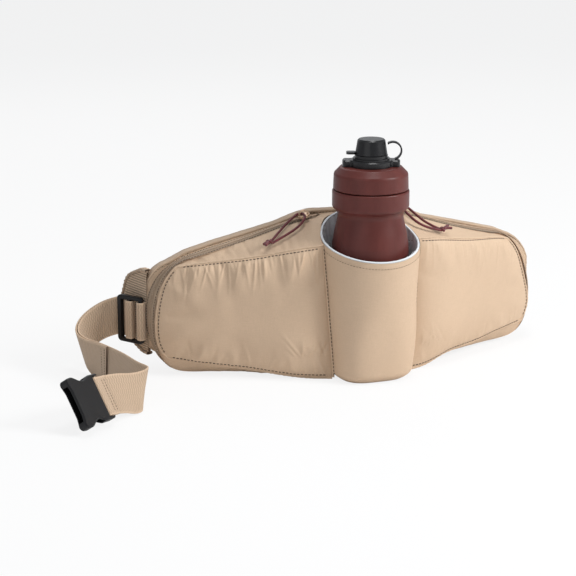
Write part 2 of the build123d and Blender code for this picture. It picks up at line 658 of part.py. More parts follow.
def buckles():
    """The buckle's two halves at the ends of the belt."""
    keep("buckle_socket", buckle_frame("left") * buckle_socket())
    frame = buckle_frame("right")
    keep("buckle_plug", frame * plug_body())
    keep("plug_arm_upper", frame * plug_arm(1))
    keep("plug_arm_lower", frame * plug_arm(-1))


def main():
    """Build every sub-part and write one STEP file each."""
    back_panel()
    sleeve()
    for side in ("left", "right"):
        pocket(side)
        slider(side)
        pull_cord(side)
        wing_flap(side)
        anchor(side)
        triglide(side)
        belt(side)
    buckles()
    bottle_body()
    lid()
    valve()
    os.makedirs("parts", exist_ok=True)
    for name, shape in NODES.items():
        export_step(shape, f"parts/{name}.step")
    print(len(NODES), "nodes")


if __name__ == "__main__":
    main()
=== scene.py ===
"""Bottle waist pack: cloth, mesh, webbing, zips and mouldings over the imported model."""

from __future__ import annotations

import logging
import math
from dataclasses import dataclass, field
from enum import Enum
from typing import Callable, Mapping, Optional, Sequence, Union

import bpy
import numpy as np
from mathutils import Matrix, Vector

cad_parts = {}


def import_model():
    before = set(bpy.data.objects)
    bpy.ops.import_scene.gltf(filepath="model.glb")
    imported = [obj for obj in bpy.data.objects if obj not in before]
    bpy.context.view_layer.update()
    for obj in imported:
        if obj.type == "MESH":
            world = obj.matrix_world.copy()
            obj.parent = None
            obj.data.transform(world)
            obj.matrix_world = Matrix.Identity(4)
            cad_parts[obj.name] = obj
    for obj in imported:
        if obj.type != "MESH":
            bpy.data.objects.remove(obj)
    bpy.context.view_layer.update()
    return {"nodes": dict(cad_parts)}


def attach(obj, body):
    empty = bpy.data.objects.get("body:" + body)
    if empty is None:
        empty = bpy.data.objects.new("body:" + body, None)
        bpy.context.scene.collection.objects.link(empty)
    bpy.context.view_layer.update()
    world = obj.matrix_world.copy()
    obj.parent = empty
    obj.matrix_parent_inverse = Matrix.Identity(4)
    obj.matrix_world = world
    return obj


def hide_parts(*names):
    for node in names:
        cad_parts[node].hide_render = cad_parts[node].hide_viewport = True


LOG = logging.getLogger("waist_pack")
MM = 0.001
Array = np.ndarray
Value = Union["Sock", float, Sequence[float]]
Spot = tuple[float, float, float]
Station = tuple[Spot, Spot, tuple[float, float]]
PARTING_Z = 62.0                         # parts the panel's upper outline from its lower one
POCKET_HEART = (120, 0, 60)              # a spot inside each pocket, that its seams' normals face away from
FACING = np.array([0.375, -0.927, 0.0])  # way that a pocket's front looks


class Side(Enum):
    """Half of the pack that a piece belongs to; the value is the sign of its X."""

    LEFT = -1
    RIGHT = 1

    @property
    def word(self) -> str:
        """Prefix of the node names on this side."""
        return self.name.lower()


# --------------------------------------------------------------------------
# Shader building
# --------------------------------------------------------------------------


class Sock:
    """One value in a shader. Arithmetic on it adds Math nodes."""

    def __init__(self, shader: "Shader", link: bpy.types.NodeSocket) -> None:
        """Wrap an output socket of a shader's tree.

        Args:
            shader: the shader it belongs to.
            link: the output socket.
        """
        self.shader = shader
        self.link = link

    def _math(self, operation: str, *values: Value, clamp: bool = False) -> "Sock":
        """Add a Math node over these values.

        Args:
            operation: name of the operation.
            *values: its operands, in order.
            clamp: keep the result from 0 to 1.

        Returns:
            The result.
        """
        sockets = dict(enumerate(values))
        settings = {"operation": operation, "use_clamp": clamp}
        return self.shader.add("ShaderNodeMath", settings, sockets)

    def __add__(self, other: Value) -> "Sock":
        """Sum."""
        return self._math("ADD", self, other)

    __radd__ = __add__

    def __sub__(self, other: Value) -> "Sock":
        """Difference."""
        return self._math("SUBTRACT", self, other)

    def __rsub__(self, other: Value) -> "Sock":
        """Reflected difference."""
        return self._math("SUBTRACT", other, self)

    def __mul__(self, other: Value) -> "Sock":
        """Product."""
        return self._math("MULTIPLY", self, other)

    __rmul__ = __mul__

    def __truediv__(self, other: Value) -> "Sock":
        """Quotient."""
        return self._math("DIVIDE", self, other)

    def __pow__(self, other: Value) -> "Sock":
        """Power."""
        return self._math("POWER", self, other)

    def sin(self) -> "Sock":
        """Sine."""
        return self._math("SINE", self)

    def abs(self) -> "Sock":
        """Absolute value."""
        return self._math("ABSOLUTE", self)

    def clamp(self) -> "Sock":
        """Value held between 0 and 1."""
        return self._math("ADD", self, 0.0, clamp=True)

    def step(self, low: float, high: float) -> "Sock":
        """Smooth rise from 0 at low to 1 at high.

        Args:
            low: value where the rise starts.
            high: value where it ends; a high below low gives a fall.

        Returns:
            The risen value.
        """
        settings = {"interpolation_type": "SMOOTHSTEP", "clamp": True}
        sockets = {"Value": self, "From Min": low, "From Max": high}
        if high < low:
            sockets.update({"From Min": high, "From Max": low, "To Min": 1.0, "To Max": 0.0})
        return self.shader.add("ShaderNodeMapRange", settings, sockets)


class Shader:
    """The node tree of one material."""

    def __init__(self, name: str) -> None:
        """Start an empty material of this name.

        Args:
            name: the material's name.
        """
        self.material = bpy.data.materials.new(name)
        self.material.use_nodes = True
        self.tree = self.material.node_tree
        self.tree.nodes.clear()

    def add(self, kind: str, settings: Mapping[str, object] = {},
            sockets: Mapping[Union[str, int], Value] = {}, out: Union[str, int] = 0) -> Sock:
        """Add any node.

        Args:
            kind: node type.
            settings: attributes set first; "stops" fills a colour ramp.
            sockets: values or links by socket name or place.
            out: output handed back.

        Returns:
            That output.
        """
        node = self.tree.nodes.new(kind)
        for key, value in settings.items():
            if key == "stops":
                ramp = node.color_ramp.elements
                while len(ramp) < len(value):
                    ramp.new(0.5)
                for element, (place, colour) in zip(ramp, value):
                    element.position, element.color = place, (*colour, 1.0)
            else:
                setattr(node, key, value)
        for key, value in sockets.items():
            if isinstance(value, Sock):
                self.tree.links.new(value.link, node.inputs[key])
            elif node.inputs[key].type == "RGBA" and len(value) == 3:
                node.inputs[key].default_value = (*value, 1.0)
            else:
                node.inputs[key].default_value = value
        return Sock(self, node.outputs[out]) if node.outputs else None

    def uv(self) -> tuple[Sock, Sock, Sock]:
        """The piece's own map, in metres: the vector, its u and its v."""
        vector = self.add("ShaderNodeTexCoord", out="UV")
        split = self.add("ShaderNodeSeparateXYZ", sockets={0: vector})
        other = Sock(self, split.link.node.outputs[1])
        return vector, split, other

    def place(self) -> Sock:
        """Object coordinates, in metres."""
        return self.add("ShaderNodeTexCoord", out="Object")

    def noise(self, where: Sock, scale: float, detail: float = 3.0, rough: float = 0.55) -> Sock:
        """Noise from 0 to 1 with this many grains a metre.

        Args:
            where: coordinates.
            scale: grains a metre.
            detail: octaves.
            rough: weight of the finer octaves.

        Returns:
            The noise value.
        """
        sockets = {"Vector": where, "Scale": scale, "Detail": detail, "Roughness": rough}
        return self.add("ShaderNodeTexNoise", {}, sockets)

    def stretch(self, where: Sock, scale: Sequence[float], turn: float = 0.0) -> Sock:
        """Coordinates scaled by axis and turned about Z.

        Args:
            where: coordinates.
            scale: factor on each axis.
            turn: turn about Z.

        Returns:
            The new coordinates.
        """
        sockets = {"Vector": where, "Scale": scale, "Rotation": (0.0, 0.0, turn)}
        return self.add("ShaderNodeMapping", {}, sockets)

    def mix(self, share: Value, first: Value, second: Value) -> Sock:
        """Colour from first at 0 to second at 1.

        Args:
            share: 0 for first, 1 for second.
            first: colour at 0.
            second: colour at 1.

        Returns:
            The mixed colour.
        """
        sockets = {0: share, 6: first, 7: second}
        return self.add("ShaderNodeMix", {"data_type": "RGBA"}, sockets, 2)

    def bump(self, height: Sock, depth: float, strength: float = 1.0,
             under: Optional[Sock] = None) -> Sock:
        """Normal from a height.

        Args:
            height: value from 0 to 1.
            depth: metres that a height of 1 stands up.
            strength: share of the effect.
            under: normal that this one is laid over.

        Returns:
            The normal.
        """
        sockets: dict[Union[str, int], Value] = {"Height": height, "Distance": depth, "Strength": strength}
        if under is not None:
            sockets["Normal"] = under
        return self.add("ShaderNodeBump", {}, sockets)

    def surface(self, sockets: Mapping[str, Value]) -> bpy.types.Material:
        """Close the tree with one principled surface.

        Args:
            sockets: its values or links by socket name.

        Returns:
            The finished material.
        """
        shader = self.add("ShaderNodeBsdfPrincipled", {}, sockets)
        self.add("ShaderNodeOutputMaterial", {}, {"Surface": shader})
        return self.material


def tint(colour: Sequence[float], share: float) -> tuple[float, ...]:
    """Colour made lighter (share over 1) or darker (share under 1).

    Args:
        colour: red, green and blue.
        share: factor on each.

    Returns:
        The new colour.
    """
    return tuple(min(1.0, c * share) for c in colour)


@dataclass(frozen=True)
class Cloth:
    """Fine plain-woven nylon: crossed yarns, slubs, and patches darkened at random."""

    name: str
    colour: tuple[float, float, float]
    yarn: float = 0.00055
    sheen: float = 0.25
    contrast: float = 0.10
    rough: float = 0.62

    def material(self) -> bpy.types.Material:
        """Yarns are a product of sines across and along the piece's own map."""
        s = Shader(self.name)
        vector, u, v = s.uv()
        turn = 2 * math.pi / self.yarn
        warp, weft = (u * turn).sin(), (v * turn).sin()
        weave = (warp * weft) * 0.5 + 0.5
        slub = s.noise(s.stretch(vector, (1500.0, 110.0, 1.0)), 1.0, 2.0)
        pick = s.noise(s.stretch(vector, (110.0, 1500.0, 1.0)), 1.0, 2.0)
        cloud = s.noise(s.place(), 14.0, 4.0)
        grain = s.noise(vector, 900.0, 2.0)
        tone = weave * 0.30 + slub * 0.25 + pick * 0.25 + grain * 0.2
        low, high = tint(self.colour, 1 - self.contrast), tint(self.colour, 1 + self.contrast)
        base = s.mix(tone.step(0.25, 0.75), low, high)
        # Random patches darkened towards 0.90 of the colour.
        base = s.mix(cloud.step(0.3, 0.75) * 0.35, base, tint(self.colour, 0.90))
        height = weave * 0.5 + slub * 0.25 + pick * 0.25
        normal = s.bump(height, 0.00012, 0.55)
        crumple = s.noise(s.place(), 95.0, 3.0, 0.6)
        normal = s.bump(crumple, 0.0007, 0.35, normal)
        return s.surface({
            "Base Color": base, "Roughness": self.rough + (grain - 0.5) * 0.12, "Normal": normal,
            "Sheen Weight": self.sheen, "Sheen Roughness": 0.45,
            "Sheen Tint": (*tint(self.colour, 1.15), 1.0), "Specular IOR Level": 0.3,
        })


@dataclass(frozen=True)
class SpacerMesh:
    """Open knitted spacer mesh: pale loops round holes painted dark as shade, in staggered rows."""

    name: str
    colour: tuple[float, float, float]
    pitch: float = 0.0030

    def material(self) -> bpy.types.Material:
        """Holes are where two rows of crossed sines both dip; their dark colour is painted shade."""
        s = Shader(self.name)
        vector, u, v = s.uv()
        turn = 2 * math.pi / self.pitch
        wave = (u * turn).sin() * (v * (turn * 0.62)).sin()
        knots = s.noise(vector, 420.0, 2.0)
        hole = (wave.abs() + (knots - 0.5) * 0.25).step(0.34, 0.62)
        yarn = s.noise(s.stretch(vector, (2400.0, 500.0, 1.0)), 1.0, 2.0)
        base = s.mix(yarn, tint(self.colour, 0.8), tint(self.colour, 1.12))
        # Painted shade: the holes are darkened to 0.22 of the colour for the shade inside the open mesh.
        base = s.mix(hole * 0.9, base, tint(self.colour, 0.22))
        normal = s.bump(1.0 - hole, 0.0009, 0.9)
        return s.surface({
            "Base Color": base, "Roughness": 0.78 + hole * 0.12, "Normal": normal,
            "Sheen Weight": 0.15, "Specular IOR Level": 0.2,
        })


@dataclass(frozen=True)
class Webbing:
    """Flat webbing: fine ribs across it in a shallow chevron, with firm pale edges."""

    name: str
    colour: tuple[float, float, float]
    width: float = 0.038
    rib: float = 0.0023
    edge: float = 0.0022

    def material(self) -> bpy.types.Material:
        """Rib height is a sine along the length, shifted by a zigzag across the width."""
        s = Shader(self.name)
        vector, u, v = s.uv()
        turn = 2 * math.pi / self.rib
        zigzag = (v * (2 * math.pi / 0.0052)).sin()
        ribs = (u * turn + zigzag * 1.1).sin() * 0.5 + 0.5
        ends = (v * (2 * math.pi / 0.00105)).sin() * 0.5 + 0.5
        away = (v - self.width / 2).abs()
        hem = away.step(self.width / 2 - self.edge, self.width / 2 - self.edge * 0.55)
        fuzz = s.noise(vector, 1500.0, 2.0)
        patch = s.noise(s.place(), 30.0, 3.0)
        tone = ribs * 0.5 + ends * 0.3 + fuzz * 0.2
        base = s.mix(tone, tint(self.colour, 0.62), tint(self.colour, 1.2))
        base = s.mix(hem * 0.55, base, tint(self.colour, 1.3))
        base = s.mix(patch.step(0.35, 0.75) * 0.3, base, tint(self.colour, 0.86))
        normal = s.bump(ribs * 0.6 + ends * 0.4 + hem * 0.4, 0.0005, 0.9)
        return s.surface({
            "Base Color": base, "Roughness": 0.74 + (fuzz - 0.5) * 0.15, "Normal": normal,
            "Sheen Weight": 0.2, "Specular IOR Level": 0.25,
        })


@dataclass(frozen=True)
class Moulding:
    """Moulded plastic or rubber: faint flow marks, fine grain and handling scuffs."""

    name: str
    colour: tuple[float, float, float]
    rough: float = 0.35
    grain: float = 0.00004
    coat: float = 0.0
    scuff: float = 0.25
    specular: float = 0.5

    def material(self) -> bpy.types.Material:
        """Grain is fine noise; scuffs are stretched noise above a threshold."""
        s = Shader(self.name)
        where = s.place()
        fine = s.noise(where, 2600.0, 2.0)
        flow = s.noise(s.stretch(where, (60.0, 60.0, 14.0)), 1.0, 3.0)
        scratch = s.noise(s.stretch(where, (900.0, 60.0, 300.0), 0.7), 1.0, 4.0).step(0.62, 0.75)
        base = s.mix(flow.step(0.3, 0.8), tint(self.colour, 0.86), tint(self.colour, 1.14))
        base = s.mix(scratch * self.scuff, base, tint(self.colour, 1.6))
        return s.surface({
            "Base Color": base, "Roughness": self.rough + (flow - 0.5) * 0.12 + scratch * 0.1,
            "Normal": s.bump(fine, self.grain, 0.6), "Coat Weight": self.coat,
            "Coat Roughness": 0.25, "Specular IOR Level": self.specular,
        })


@dataclass(frozen=True)
class Braid:
    """Braided limp cord: crossing strands, painted lighter on their crowns and darker between them as painted highlight
    and painted shade.
    """

    name: str
    colour: tuple[float, float, float]
    strand: float = 0.0011

    def material(self) -> bpy.types.Material:
        """Strands are cells of a Voronoi pattern, raised towards their centres; their colour follows that relief as
        painted highlight and painted shade.
        """
        s = Shader(self.name)
        where = s.place()
        sockets = {"Vector": where, "Scale": 1.0 / self.strand, "Randomness": 0.55}
        cell = s.add("ShaderNodeTexVoronoi", {}, sockets)
        fuzz = s.noise(where, 3000.0, 2.0)
        # Painted highlight on the strand crowns and painted shade in the gaps between strands.
        base = s.mix(cell.step(0.15, 0.8), tint(self.colour, 1.9), tint(self.colour, 0.6))
        return s.surface({
            "Base Color": base, "Roughness": 0.6 + fuzz * 0.15,
            "Normal": s.bump(1.0 - cell, 0.0003, 0.9), "Sheen Weight": 0.3,
        })


@dataclass(frozen=True)
class Lacquered:
    """Cast slider metal under a tinted lacquer, rubbed bright on its high spots."""

    name: str
    colour: tuple[float, float, float]

    def material(self) -> bpy.types.Material:
        """Wear is coarse noise that lightens the metal and smooths it."""
        s = Shader(self.name)
        where = s.place()
        rub = s.noise(where, 260.0, 4.0).step(0.45, 0.7)
        pits = s.noise(where, 1800.0, 2.0)
        base = s.mix(rub, self.colour, tint(self.colour, 1.5))
        return s.surface({
            "Base Color": base, "Metallic": 0.85, "Roughness": 0.42 - rub * 0.12,
            "Normal": s.bump(pits, 0.00006, 0.7), "Coat Weight": 0.3, "Coat Roughness": 0.3,
        })


class Finishes:
    """Every finish on the pack, made once and handed out by slot name."""

    def __init__(self) -> None:
        """Make the materials."""
        sand, pale = (0.60, 0.44, 0.305), (0.80, 0.84, 0.86)
        recipes = {
            "pack_cloth": Cloth("sand_nylon", sand),
            "rim_cloth": Cloth("pale_rim_cloth", (0.72, 0.76, 0.79), contrast=0.06),
            "binding": Webbing("sand_binding", tint(sand, 0.88), 0.012, 0.0012, 0.001),
            "spacer_mesh": SpacerMesh("sand_spacer_mesh", tint(sand, 1.15)),
            "lining": Cloth("blue_grey_lining", pale, sheen=0.1, contrast=0.05, rough=0.5),
            "foam": Moulding("closed_cell_foam", (0.45, 0.42, 0.38), 0.8, 0.0002, scuff=0.0),
            "zip_tape": Webbing("zip_tape_twill", tint(sand, 0.78), 0.014, 0.0009, 0.0007),
            "zip_coil": Moulding("zip_coil_nylon", tint(sand, 0.9), 0.42),
            "slider_brass": Lacquered("lacquered_slider", (0.50, 0.34, 0.22)),
            "pull_cord": Braid("maroon_cord", (0.105, 0.010, 0.014)),
            "webbing": Webbing("sand_webbing", tint(sand, 0.96)),
            "thread": Moulding("stitch_thread", tint(sand, 0.15), 0.7, 0.0001, scuff=0.0),
            "black_acetal": Moulding("black_acetal", (0.008, 0.008, 0.009), 0.42, specular=0.3),
            "bottle_plastic": Moulding("maroon_bottle", (0.112, 0.026, 0.021), 0.40, 0.00003, 0.0, 0.12, 0.3),
            "valve_plastic": Moulding("black_valve", (0.008, 0.008, 0.009), 0.3, 0.00003, 0.1, specular=0.4),
            "seal_rubber": Moulding("seal_silicone", (0.03, 0.03, 0.032), 0.6, 0.0001),
        }
        self.made = {key: recipe.material() for key, recipe in recipes.items()}

    def dress(self, piece: bpy.types.Object, slot: str, finish: Optional[str] = None) -> None:
        """Give a piece its material: the slot's own finish, or the one named in its place.

        Args:
            piece: object to dress.
            slot: material slot of the record.
            finish: finish used in its place, if it isn't the slot's own.
        """
        piece.data.materials.clear()
        piece.data.materials.append(self.made[finish or slot])

    def recoat(self, node: bpy.types.Object, slot: str) -> None:
        """Put a finish on a CAD node's own material slots.

        Args:
            node: the CAD node.
            slot: name of the finish.
        """
        if not node.material_slots:
            node.data.materials.append(self.made[slot])
        for place in node.material_slots:
            place.material = self.made[slot]


# --------------------------------------------------------------------------
# Shapes, in millimetres
# --------------------------------------------------------------------------


def unit(vectors: Array) -> Array:
    """Vectors divided by their own lengths.

    Args:
        vectors: vectors along the last axis.

    Returns:
        Vectors of length 1.
    """
    return vectors / np.maximum(np.linalg.norm(vectors, axis=-1, keepdims=True), 1e-9)


def smooth_line(points: Sequence[Sequence[float]], count: int, ends: float = 0.0) -> Array:
    """Natural cubic spline through points, in equal steps of chord length.

    Second derivatives m solve h0 m0 + 2 (h0 + h1) m1 + h1 m2 = 6 (slope1 - slope0),
    with m = 0 at both ends.

    Args:
        points: points the line passes through.
        count: points handed back.
        ends: share of each end left off.

    Returns:
        Array of count points.
    """
    p = np.asarray(points, float)
    d = np.concatenate(([0.0], np.cumsum(np.linalg.norm(np.diff(p, axis=0), axis=1))))
    h, n = np.diff(d), len(p)
    a = np.zeros((n, n))
    a[0, 0] = a[-1, -1] = 1.0
    k = np.arange(1, n - 1)
    a[k, k - 1], a[k, k], a[k, k + 1] = h[:-1], 2 * (h[:-1] + h[1:]), h[1:]
    slope = np.diff(p, axis=0) / h[:, None]
    b = np.zeros_like(p)
    b[1:-1] = 6 * np.diff(slope, axis=0)
    m = np.linalg.solve(a, b)
    t = np.linspace(d[-1] * ends, d[-1] * (1 - ends), count)
    i = np.clip(np.searchsorted(d, t, "right") - 1, 0, n - 2)
    w, hi = (t - d[i])[:, None], h[i][:, None]
    lead = slope[i] - hi * (2 * m[i] + m[i + 1]) / 6
    return p[i] + w * lead + w**2 * m[i] / 2 + w**3 * (m[i + 1] - m[i]) / (6 * hi)


def even(path: Array, count: int) -> Array:
    """The same path with its points at equal distances along it.

    Args:
        path: points of the path.
        count: number of points wanted.

    Returns:
        The new points.
    """
    d = np.concatenate(([0.0], np.cumsum(np.linalg.norm(np.diff(path, axis=0), axis=1))))
    t = np.linspace(0, d[-1], count)
    return np.stack([np.interp(t, d, path[:, k]) for k in range(path.shape[1])], axis=1)


def eased(path: Array, reach: int) -> Array:
    """Path averaged over its neighbours, reach points either way; its ends stay put.

    Args:
        path: points of the path.
        reach: neighbours on either side.

    Returns:
        The smoothed points.
    """
    k = np.arange(len(path))
    span = np.minimum(reach, np.minimum(k, k[::-1]))
    total = np.vstack([0 * path[:1], np.cumsum(path, axis=0)])
    return (total[k + span + 1] - total[k - span]) / (2 * span + 1)[:, None]


def travelled(path: Array) -> Array:
    """Distance along a path at each of its points.

    Args:
        path: points of the path.

    Returns:
        Distance at each point, from 0.
    """
    return np.concatenate(([0.0], np.cumsum(np.linalg.norm(np.diff(path, axis=0), axis=1))))


def rounded(points: Sequence[Sequence[float]], radii: Sequence[float], closed: bool = True,
            steps: int = 8) -> Array:
    """Polyline whose corners are arcs.

    Each corner is cut radius * tan(half its turn) before and after, and the arc is
    the circle that touches both runs there.

    Args:
        points: corners, in the plane.
        radii: radius at each corner.
        closed: whether the last corner joins the first.
        steps: points on each arc.

    Returns:
        Points of the outline, in order.
    """
    p = np.asarray(points, float)
    before, after = unit(np.roll(p, 1, 0) - p), unit(np.roll(p, -1, 0) - p)
    half = np.arccos(np.clip((before * after).sum(1), -0.9999, 0.9999)) / 2
    r = np.asarray(radii, float)
    reach = r / np.tan(half)
    centre = p + unit(before + after) * (r / np.sin(half))[:, None]
    first, last = p + before * reach[:, None] - centre, p + after * reach[:, None] - centre
    a0, a1 = np.arctan2(first[:, 1], first[:, 0]), np.arctan2(last[:, 1], last[:, 0])
    turn = (a1 - a0 + math.pi) % (2 * math.pi) - math.pi
    angle = a0[:, None] + turn[:, None] * np.linspace(0, 1, steps)
    arc = centre[:, None] + r[:, None, None] * np.stack([np.cos(angle), np.sin(angle)], -1)
    if not closed:
        arc[0], arc[-1] = p[0], p[-1]
    return arc.reshape(-1, 2)


def flat_oval(width: float, thick: float, power: float = 5.0, count: int = 24) -> Array:
    """Closed section |a/w|^n + |b/t|^n = 1, as (across, up) points.

    Args:
        width: size across.
        thick: size upwards.
        power: the exponent n.
        count: number of points.

    Returns:
        The section.
    """
    a = np.linspace(0, 2 * math.pi, count, endpoint=False)
    c, s = np.cos(a), np.sin(a)
    return np.stack([
        width / 2 * np.sign(c) * np.abs(c) ** (2 / power),
        thick / 2 * np.sign(s) * np.abs(s) ** (2 / power),
    ], axis=1)


def carried(path: Array, section: Array, up: Array, closed: bool = False) -> Array:
    """Section carried along a path: point (i, j) = path i + a j * side i + b j * top i.

    Side is the way along the path crossed with up, and top is side crossed with the way.

    Args:
        path: points in order.
        section: (across, up) points.
        up: one vector, or one for each point of the path.
        closed: whether the path is a loop.

    Returns:
        Grid of points.
    """
    if closed:
        way = np.roll(path, -1, 0) - np.roll(path, 1, 0)
    else:
        way = np.gradient(path, axis=0)
    way = unit(way)
    side = unit(np.cross(way, np.broadcast_to(up, path.shape)))
    top = np.cross(side, way)
    return path[:, None] + section[None, :, :1] * side[:, None] + section[None, :, 1:] * top[:, None]


def turned(profile: Array, count: int = 96) -> Array:
    """Profile (radius, height) turned about Z: (r cos a, r sin a, z).

    Args:
        profile: radius and height of each point.
        count: points round the axis.

    Returns:
        Grid of points.
    """
    a = np.linspace(0, 2 * math.pi, count, endpoint=False)
    r, z = profile[:, :1], profile[:, 1:]
    return np.stack([r * np.cos(a), r * np.sin(a), z + 0 * a], axis=-1)


def ripples(along: Array, across: Array, strokes: Array) -> Array:
    """Height of soft folds over a flat map.

    Each stroke is (x0, y0, x1, y1, half width, height). Its ridge is a bell across the
    stroke and fades from its start to its end.

    Args:
        along: first map coordinate of each point.
        across: second map coordinate.
        strokes: one row for each fold.

    Returns:
        Height at each point.
    """
    x0, y0, x1, y1, wide, tall = (strokes[:, k] for k in range(6))
    dx, dy = x1 - x0, y1 - y0
    length = np.hypot(dx, dy)
    px, py = along[..., None] - x0, across[..., None] - y0
    t = (px * dx + py * dy) / length**2
    off = (px * dy - py * dx) / length
    grow = wide * (0.75 + 0.9 * np.clip(t, 0, 1))
    fade = np.clip(t * 6 + 1, 0, 1) * np.clip((1 - t) * 1.6, 0, 1) ** 1.3
    fade = np.where(t < -0.17, 0, fade)
    return (tall * fade * np.exp(-((off / grow) ** 2))).sum(-1)


def gathers(rng: np.random.Generator, span: tuple[float, float], edge: Callable[[Array], Array],
            count: int, reach: tuple[float, float], wide: tuple[float, float],
            tall: tuple[float, float], lean: float, down: float = -1.0) -> Array:
    """Strokes of a gathered seam: many short folds that start on an edge.

    Args:
        rng: seeded generator.
        span: first and last place along the edge.
        edge: height of the edge at a place.
        count: number of folds.
        reach: shortest and longest fold.
        wide: narrowest and widest half width.
        tall: lowest and highest fold.
        lean: largest sideways lean, as a share of the length.
        down: side of the edge that the folds run to.

    Returns:
        One row for each fold.
    """
    x = np.linspace(*span, count) + rng.uniform(-0.4, 0.4, count) * (span[1] - span[0]) / count
    y = edge(x)
    size = rng.uniform(*reach, count)
    sway = rng.uniform(-lean, lean, count)
    sign = np.where(rng.uniform(size=count) < 0.72, 1.0, -0.8)
    return np.stack([
        x, y, x + size * sway, y + down * size, rng.uniform(*wide, count),
        # Turned surfaces, with a faint raised parting line down either side of the body.
        sign * rng.uniform(*tall, count),
    ], axis=1)


def skin(name: str, points: Array, uv: Optional[Array] = None, wrap: tuple[bool, bool] = (False, False),
         flip: bool = False) -> bpy.types.Object:
    """Smooth quad surface over a grid of points in millimetres.

    Args:
        name: object name.
        points: grid of points, rows by columns by 3.
        uv: map in metres; one longer than the grid wherever it wraps.
        wrap: whether rows and columns close on themselves.
        flip: turn the faces round.

    Returns:
        The new object, linked to the scene.
    """
    rows, cols = points.shape[:2]
    i, j = np.meshgrid(np.arange(rows - (not wrap[0])), np.arange(cols - (not wrap[1])), indexing="ij")
    corner = [(i, j), (i + 1, j), (i + 1, j + 1), (i, j + 1)]
    if flip:
        corner = corner[::-1]
    quads = np.stack([(a % rows) * cols + b % cols for a, b in corner], axis=-1).reshape(-1, 4)
    mesh = bpy.data.meshes.new(name)
    mesh.from_pydata((points * MM).reshape(-1, 3), [], quads)
    if uv is not None:
        layer = mesh.uv_layers.new(name="fabric")
        picked = np.stack([uv[a, b] for a, b in corner], axis=-2)
        layer.data.foreach_set("uv", np.ascontiguousarray(picked, np.float32).ravel())
    mesh.polygons.foreach_set("use_smooth", np.ones(len(mesh.polygons), bool))
    mesh.update()
    piece = bpy.data.objects.new(name, mesh)
    bpy.context.scene.collection.objects.link(piece)
    return piece


def span_map(points: Array, wrap: tuple[bool, bool] = (False, False)) -> Array:
    """Map in metres whose u and v are distances along the middle row and column.

    Args:
        points: the grid.
        wrap: whether the grid closes on itself along its rows, and along its columns.

    Returns:
        The map.
    """
    grid = points
    if wrap[0]:
        grid = np.concatenate([grid, grid[:1]], axis=0)
    if wrap[1]:
        grid = np.concatenate([grid, grid[:, :1]], axis=1)
    u = travelled(grid[:, grid.shape[1] // 2])
    v = travelled(grid[grid.shape[0] // 2])
    return np.stack(np.meshgrid(u, v, indexing="ij"), axis=-1) * MM


@dataclass(frozen=True)
class Cut:
    """Flat size of a sewn panel in millimetres, taken from its solid and not from the cloth made here."""

    width: float
    length: float
    area: float


# Solid pocket_front: longest column and row of its outer face, and half its whole skin.
FRONT_CUT = Cut(134.5, 168.7, 18829.0)
# Solid pocket_gusset: its widest place, the front's outline less the sleeve edge, and half its skin.
GUSSET_CUT = Cut(55.0, 441.6, 9691.0)


def sewn_sheet(cut: Cut) -> None:
    """Work out a panel's flat width in metres; the result is not kept.

    Args:
        cut: its flat size.
    """
    cut.width * MM


def picked(points: Array, d: Array, at: Array) -> Array:
    """Values of a path at given distances along it.

    Args:
        points: a row for each point of the path.
        d: distance of each point along the path.
        at: distances wanted.

    Returns:
        A row for each distance.
    """
    return np.stack([np.interp(at, d, points[:, k]) for k in range(3)], axis=1)


def dots(name: str, centres: Array, ways: Array, ups: Array, size: tuple[float, float, float]) -> bpy.types.Object:
    """Many small rounded grains in one mesh: stitches or zip teeth.

    A grain is a closed capsule of 6 by 4 faces. Its point k is
    centre + way * l cos(v) + side * w sin(v) cos(u) + up * h sin(v) sin(u).

    Args:
        name: object name.
        centres: centre of each grain, in millimetres.
        ways: way each grain points.
        ups: outward normal at each grain.
        size: full length, width and height.

    Returns:
        The new object.
    """
    ways = unit(ways)
    side = unit(np.cross(ups, ways))
    top = np.cross(ways, side)
    u = np.linspace(0, 2 * math.pi, 6, endpoint=False)
    v = np.array([0.28, 0.9, math.pi - 0.9, math.pi - 0.28])
    c = np.sign(np.cos(v)) * np.abs(np.cos(v)) ** 0.6
    ring = np.stack([
        size[0] / 2 * c[:, None] + 0 * u, size[1] / 2 * np.sin(v)[:, None] * np.cos(u),
        size[2] / 2 * np.sin(v)[:, None] * np.sin(u),
    ], axis=-1).reshape(-1, 3)
    points = centres[:, None] + ring[None, :, :1] * ways[:, None] + ring[None, :, 1:2] * side[:, None] \
        + ring[None, :, 2:] * top[:, None]
    i, j = np.meshgrid(np.arange(3), np.arange(6), indexing="ij")
    faces = np.stack([i * 6 + j, i * 6 + (j + 1) % 6, (i + 1) * 6 + (j + 1) % 6, (i + 1) * 6 + j], -1)
    faces = faces.reshape(-1, 4)[:, ::-1]
    many = (faces[None] + (np.arange(len(centres)) * 24)[:, None, None]).reshape(-1, 4).tolist()
    ends = np.array([[0, 1, 2, 3, 4, 5], [23, 22, 21, 20, 19, 18]])
    many += (ends[None] + (np.arange(len(centres)) * 24)[:, None, None]).reshape(-1, 6).tolist()
    mesh = bpy.data.meshes.new(name)
    mesh.from_pydata((points * MM).reshape(-1, 3), [], many)
    mesh.polygons.foreach_set("use_smooth", np.ones(len(mesh.polygons), bool))
    mesh.update()
    piece = bpy.data.objects.new(name, mesh)
    bpy.context.scene.collection.objects.link(piece)
    return piece


def stitches(name: str, path: Array, ups: Array, pitch: float = 3.0,
             size: tuple[float, float, float] = (2.0, 0.62, 0.5)) -> bpy.types.Object:
    """Row of stitches along a path, one each pitch.

    Args:
        name: object name.
        path: points on the cloth, in millimetres.
        ups: outward normal at each point, or one for all.
        pitch: distance from stitch to stitch.
        size: length, width and height of a stitch.

    Returns:
        The new object.
    """
    d = travelled(path)
    t = np.arange(pitch, d[-1] - pitch / 2, pitch)
    ups = np.broadcast_to(ups, path.shape)
    return dots(name, picked(path, d, t), picked(np.gradient(path, axis=0), d, t), unit(picked(ups, d, t)), size)


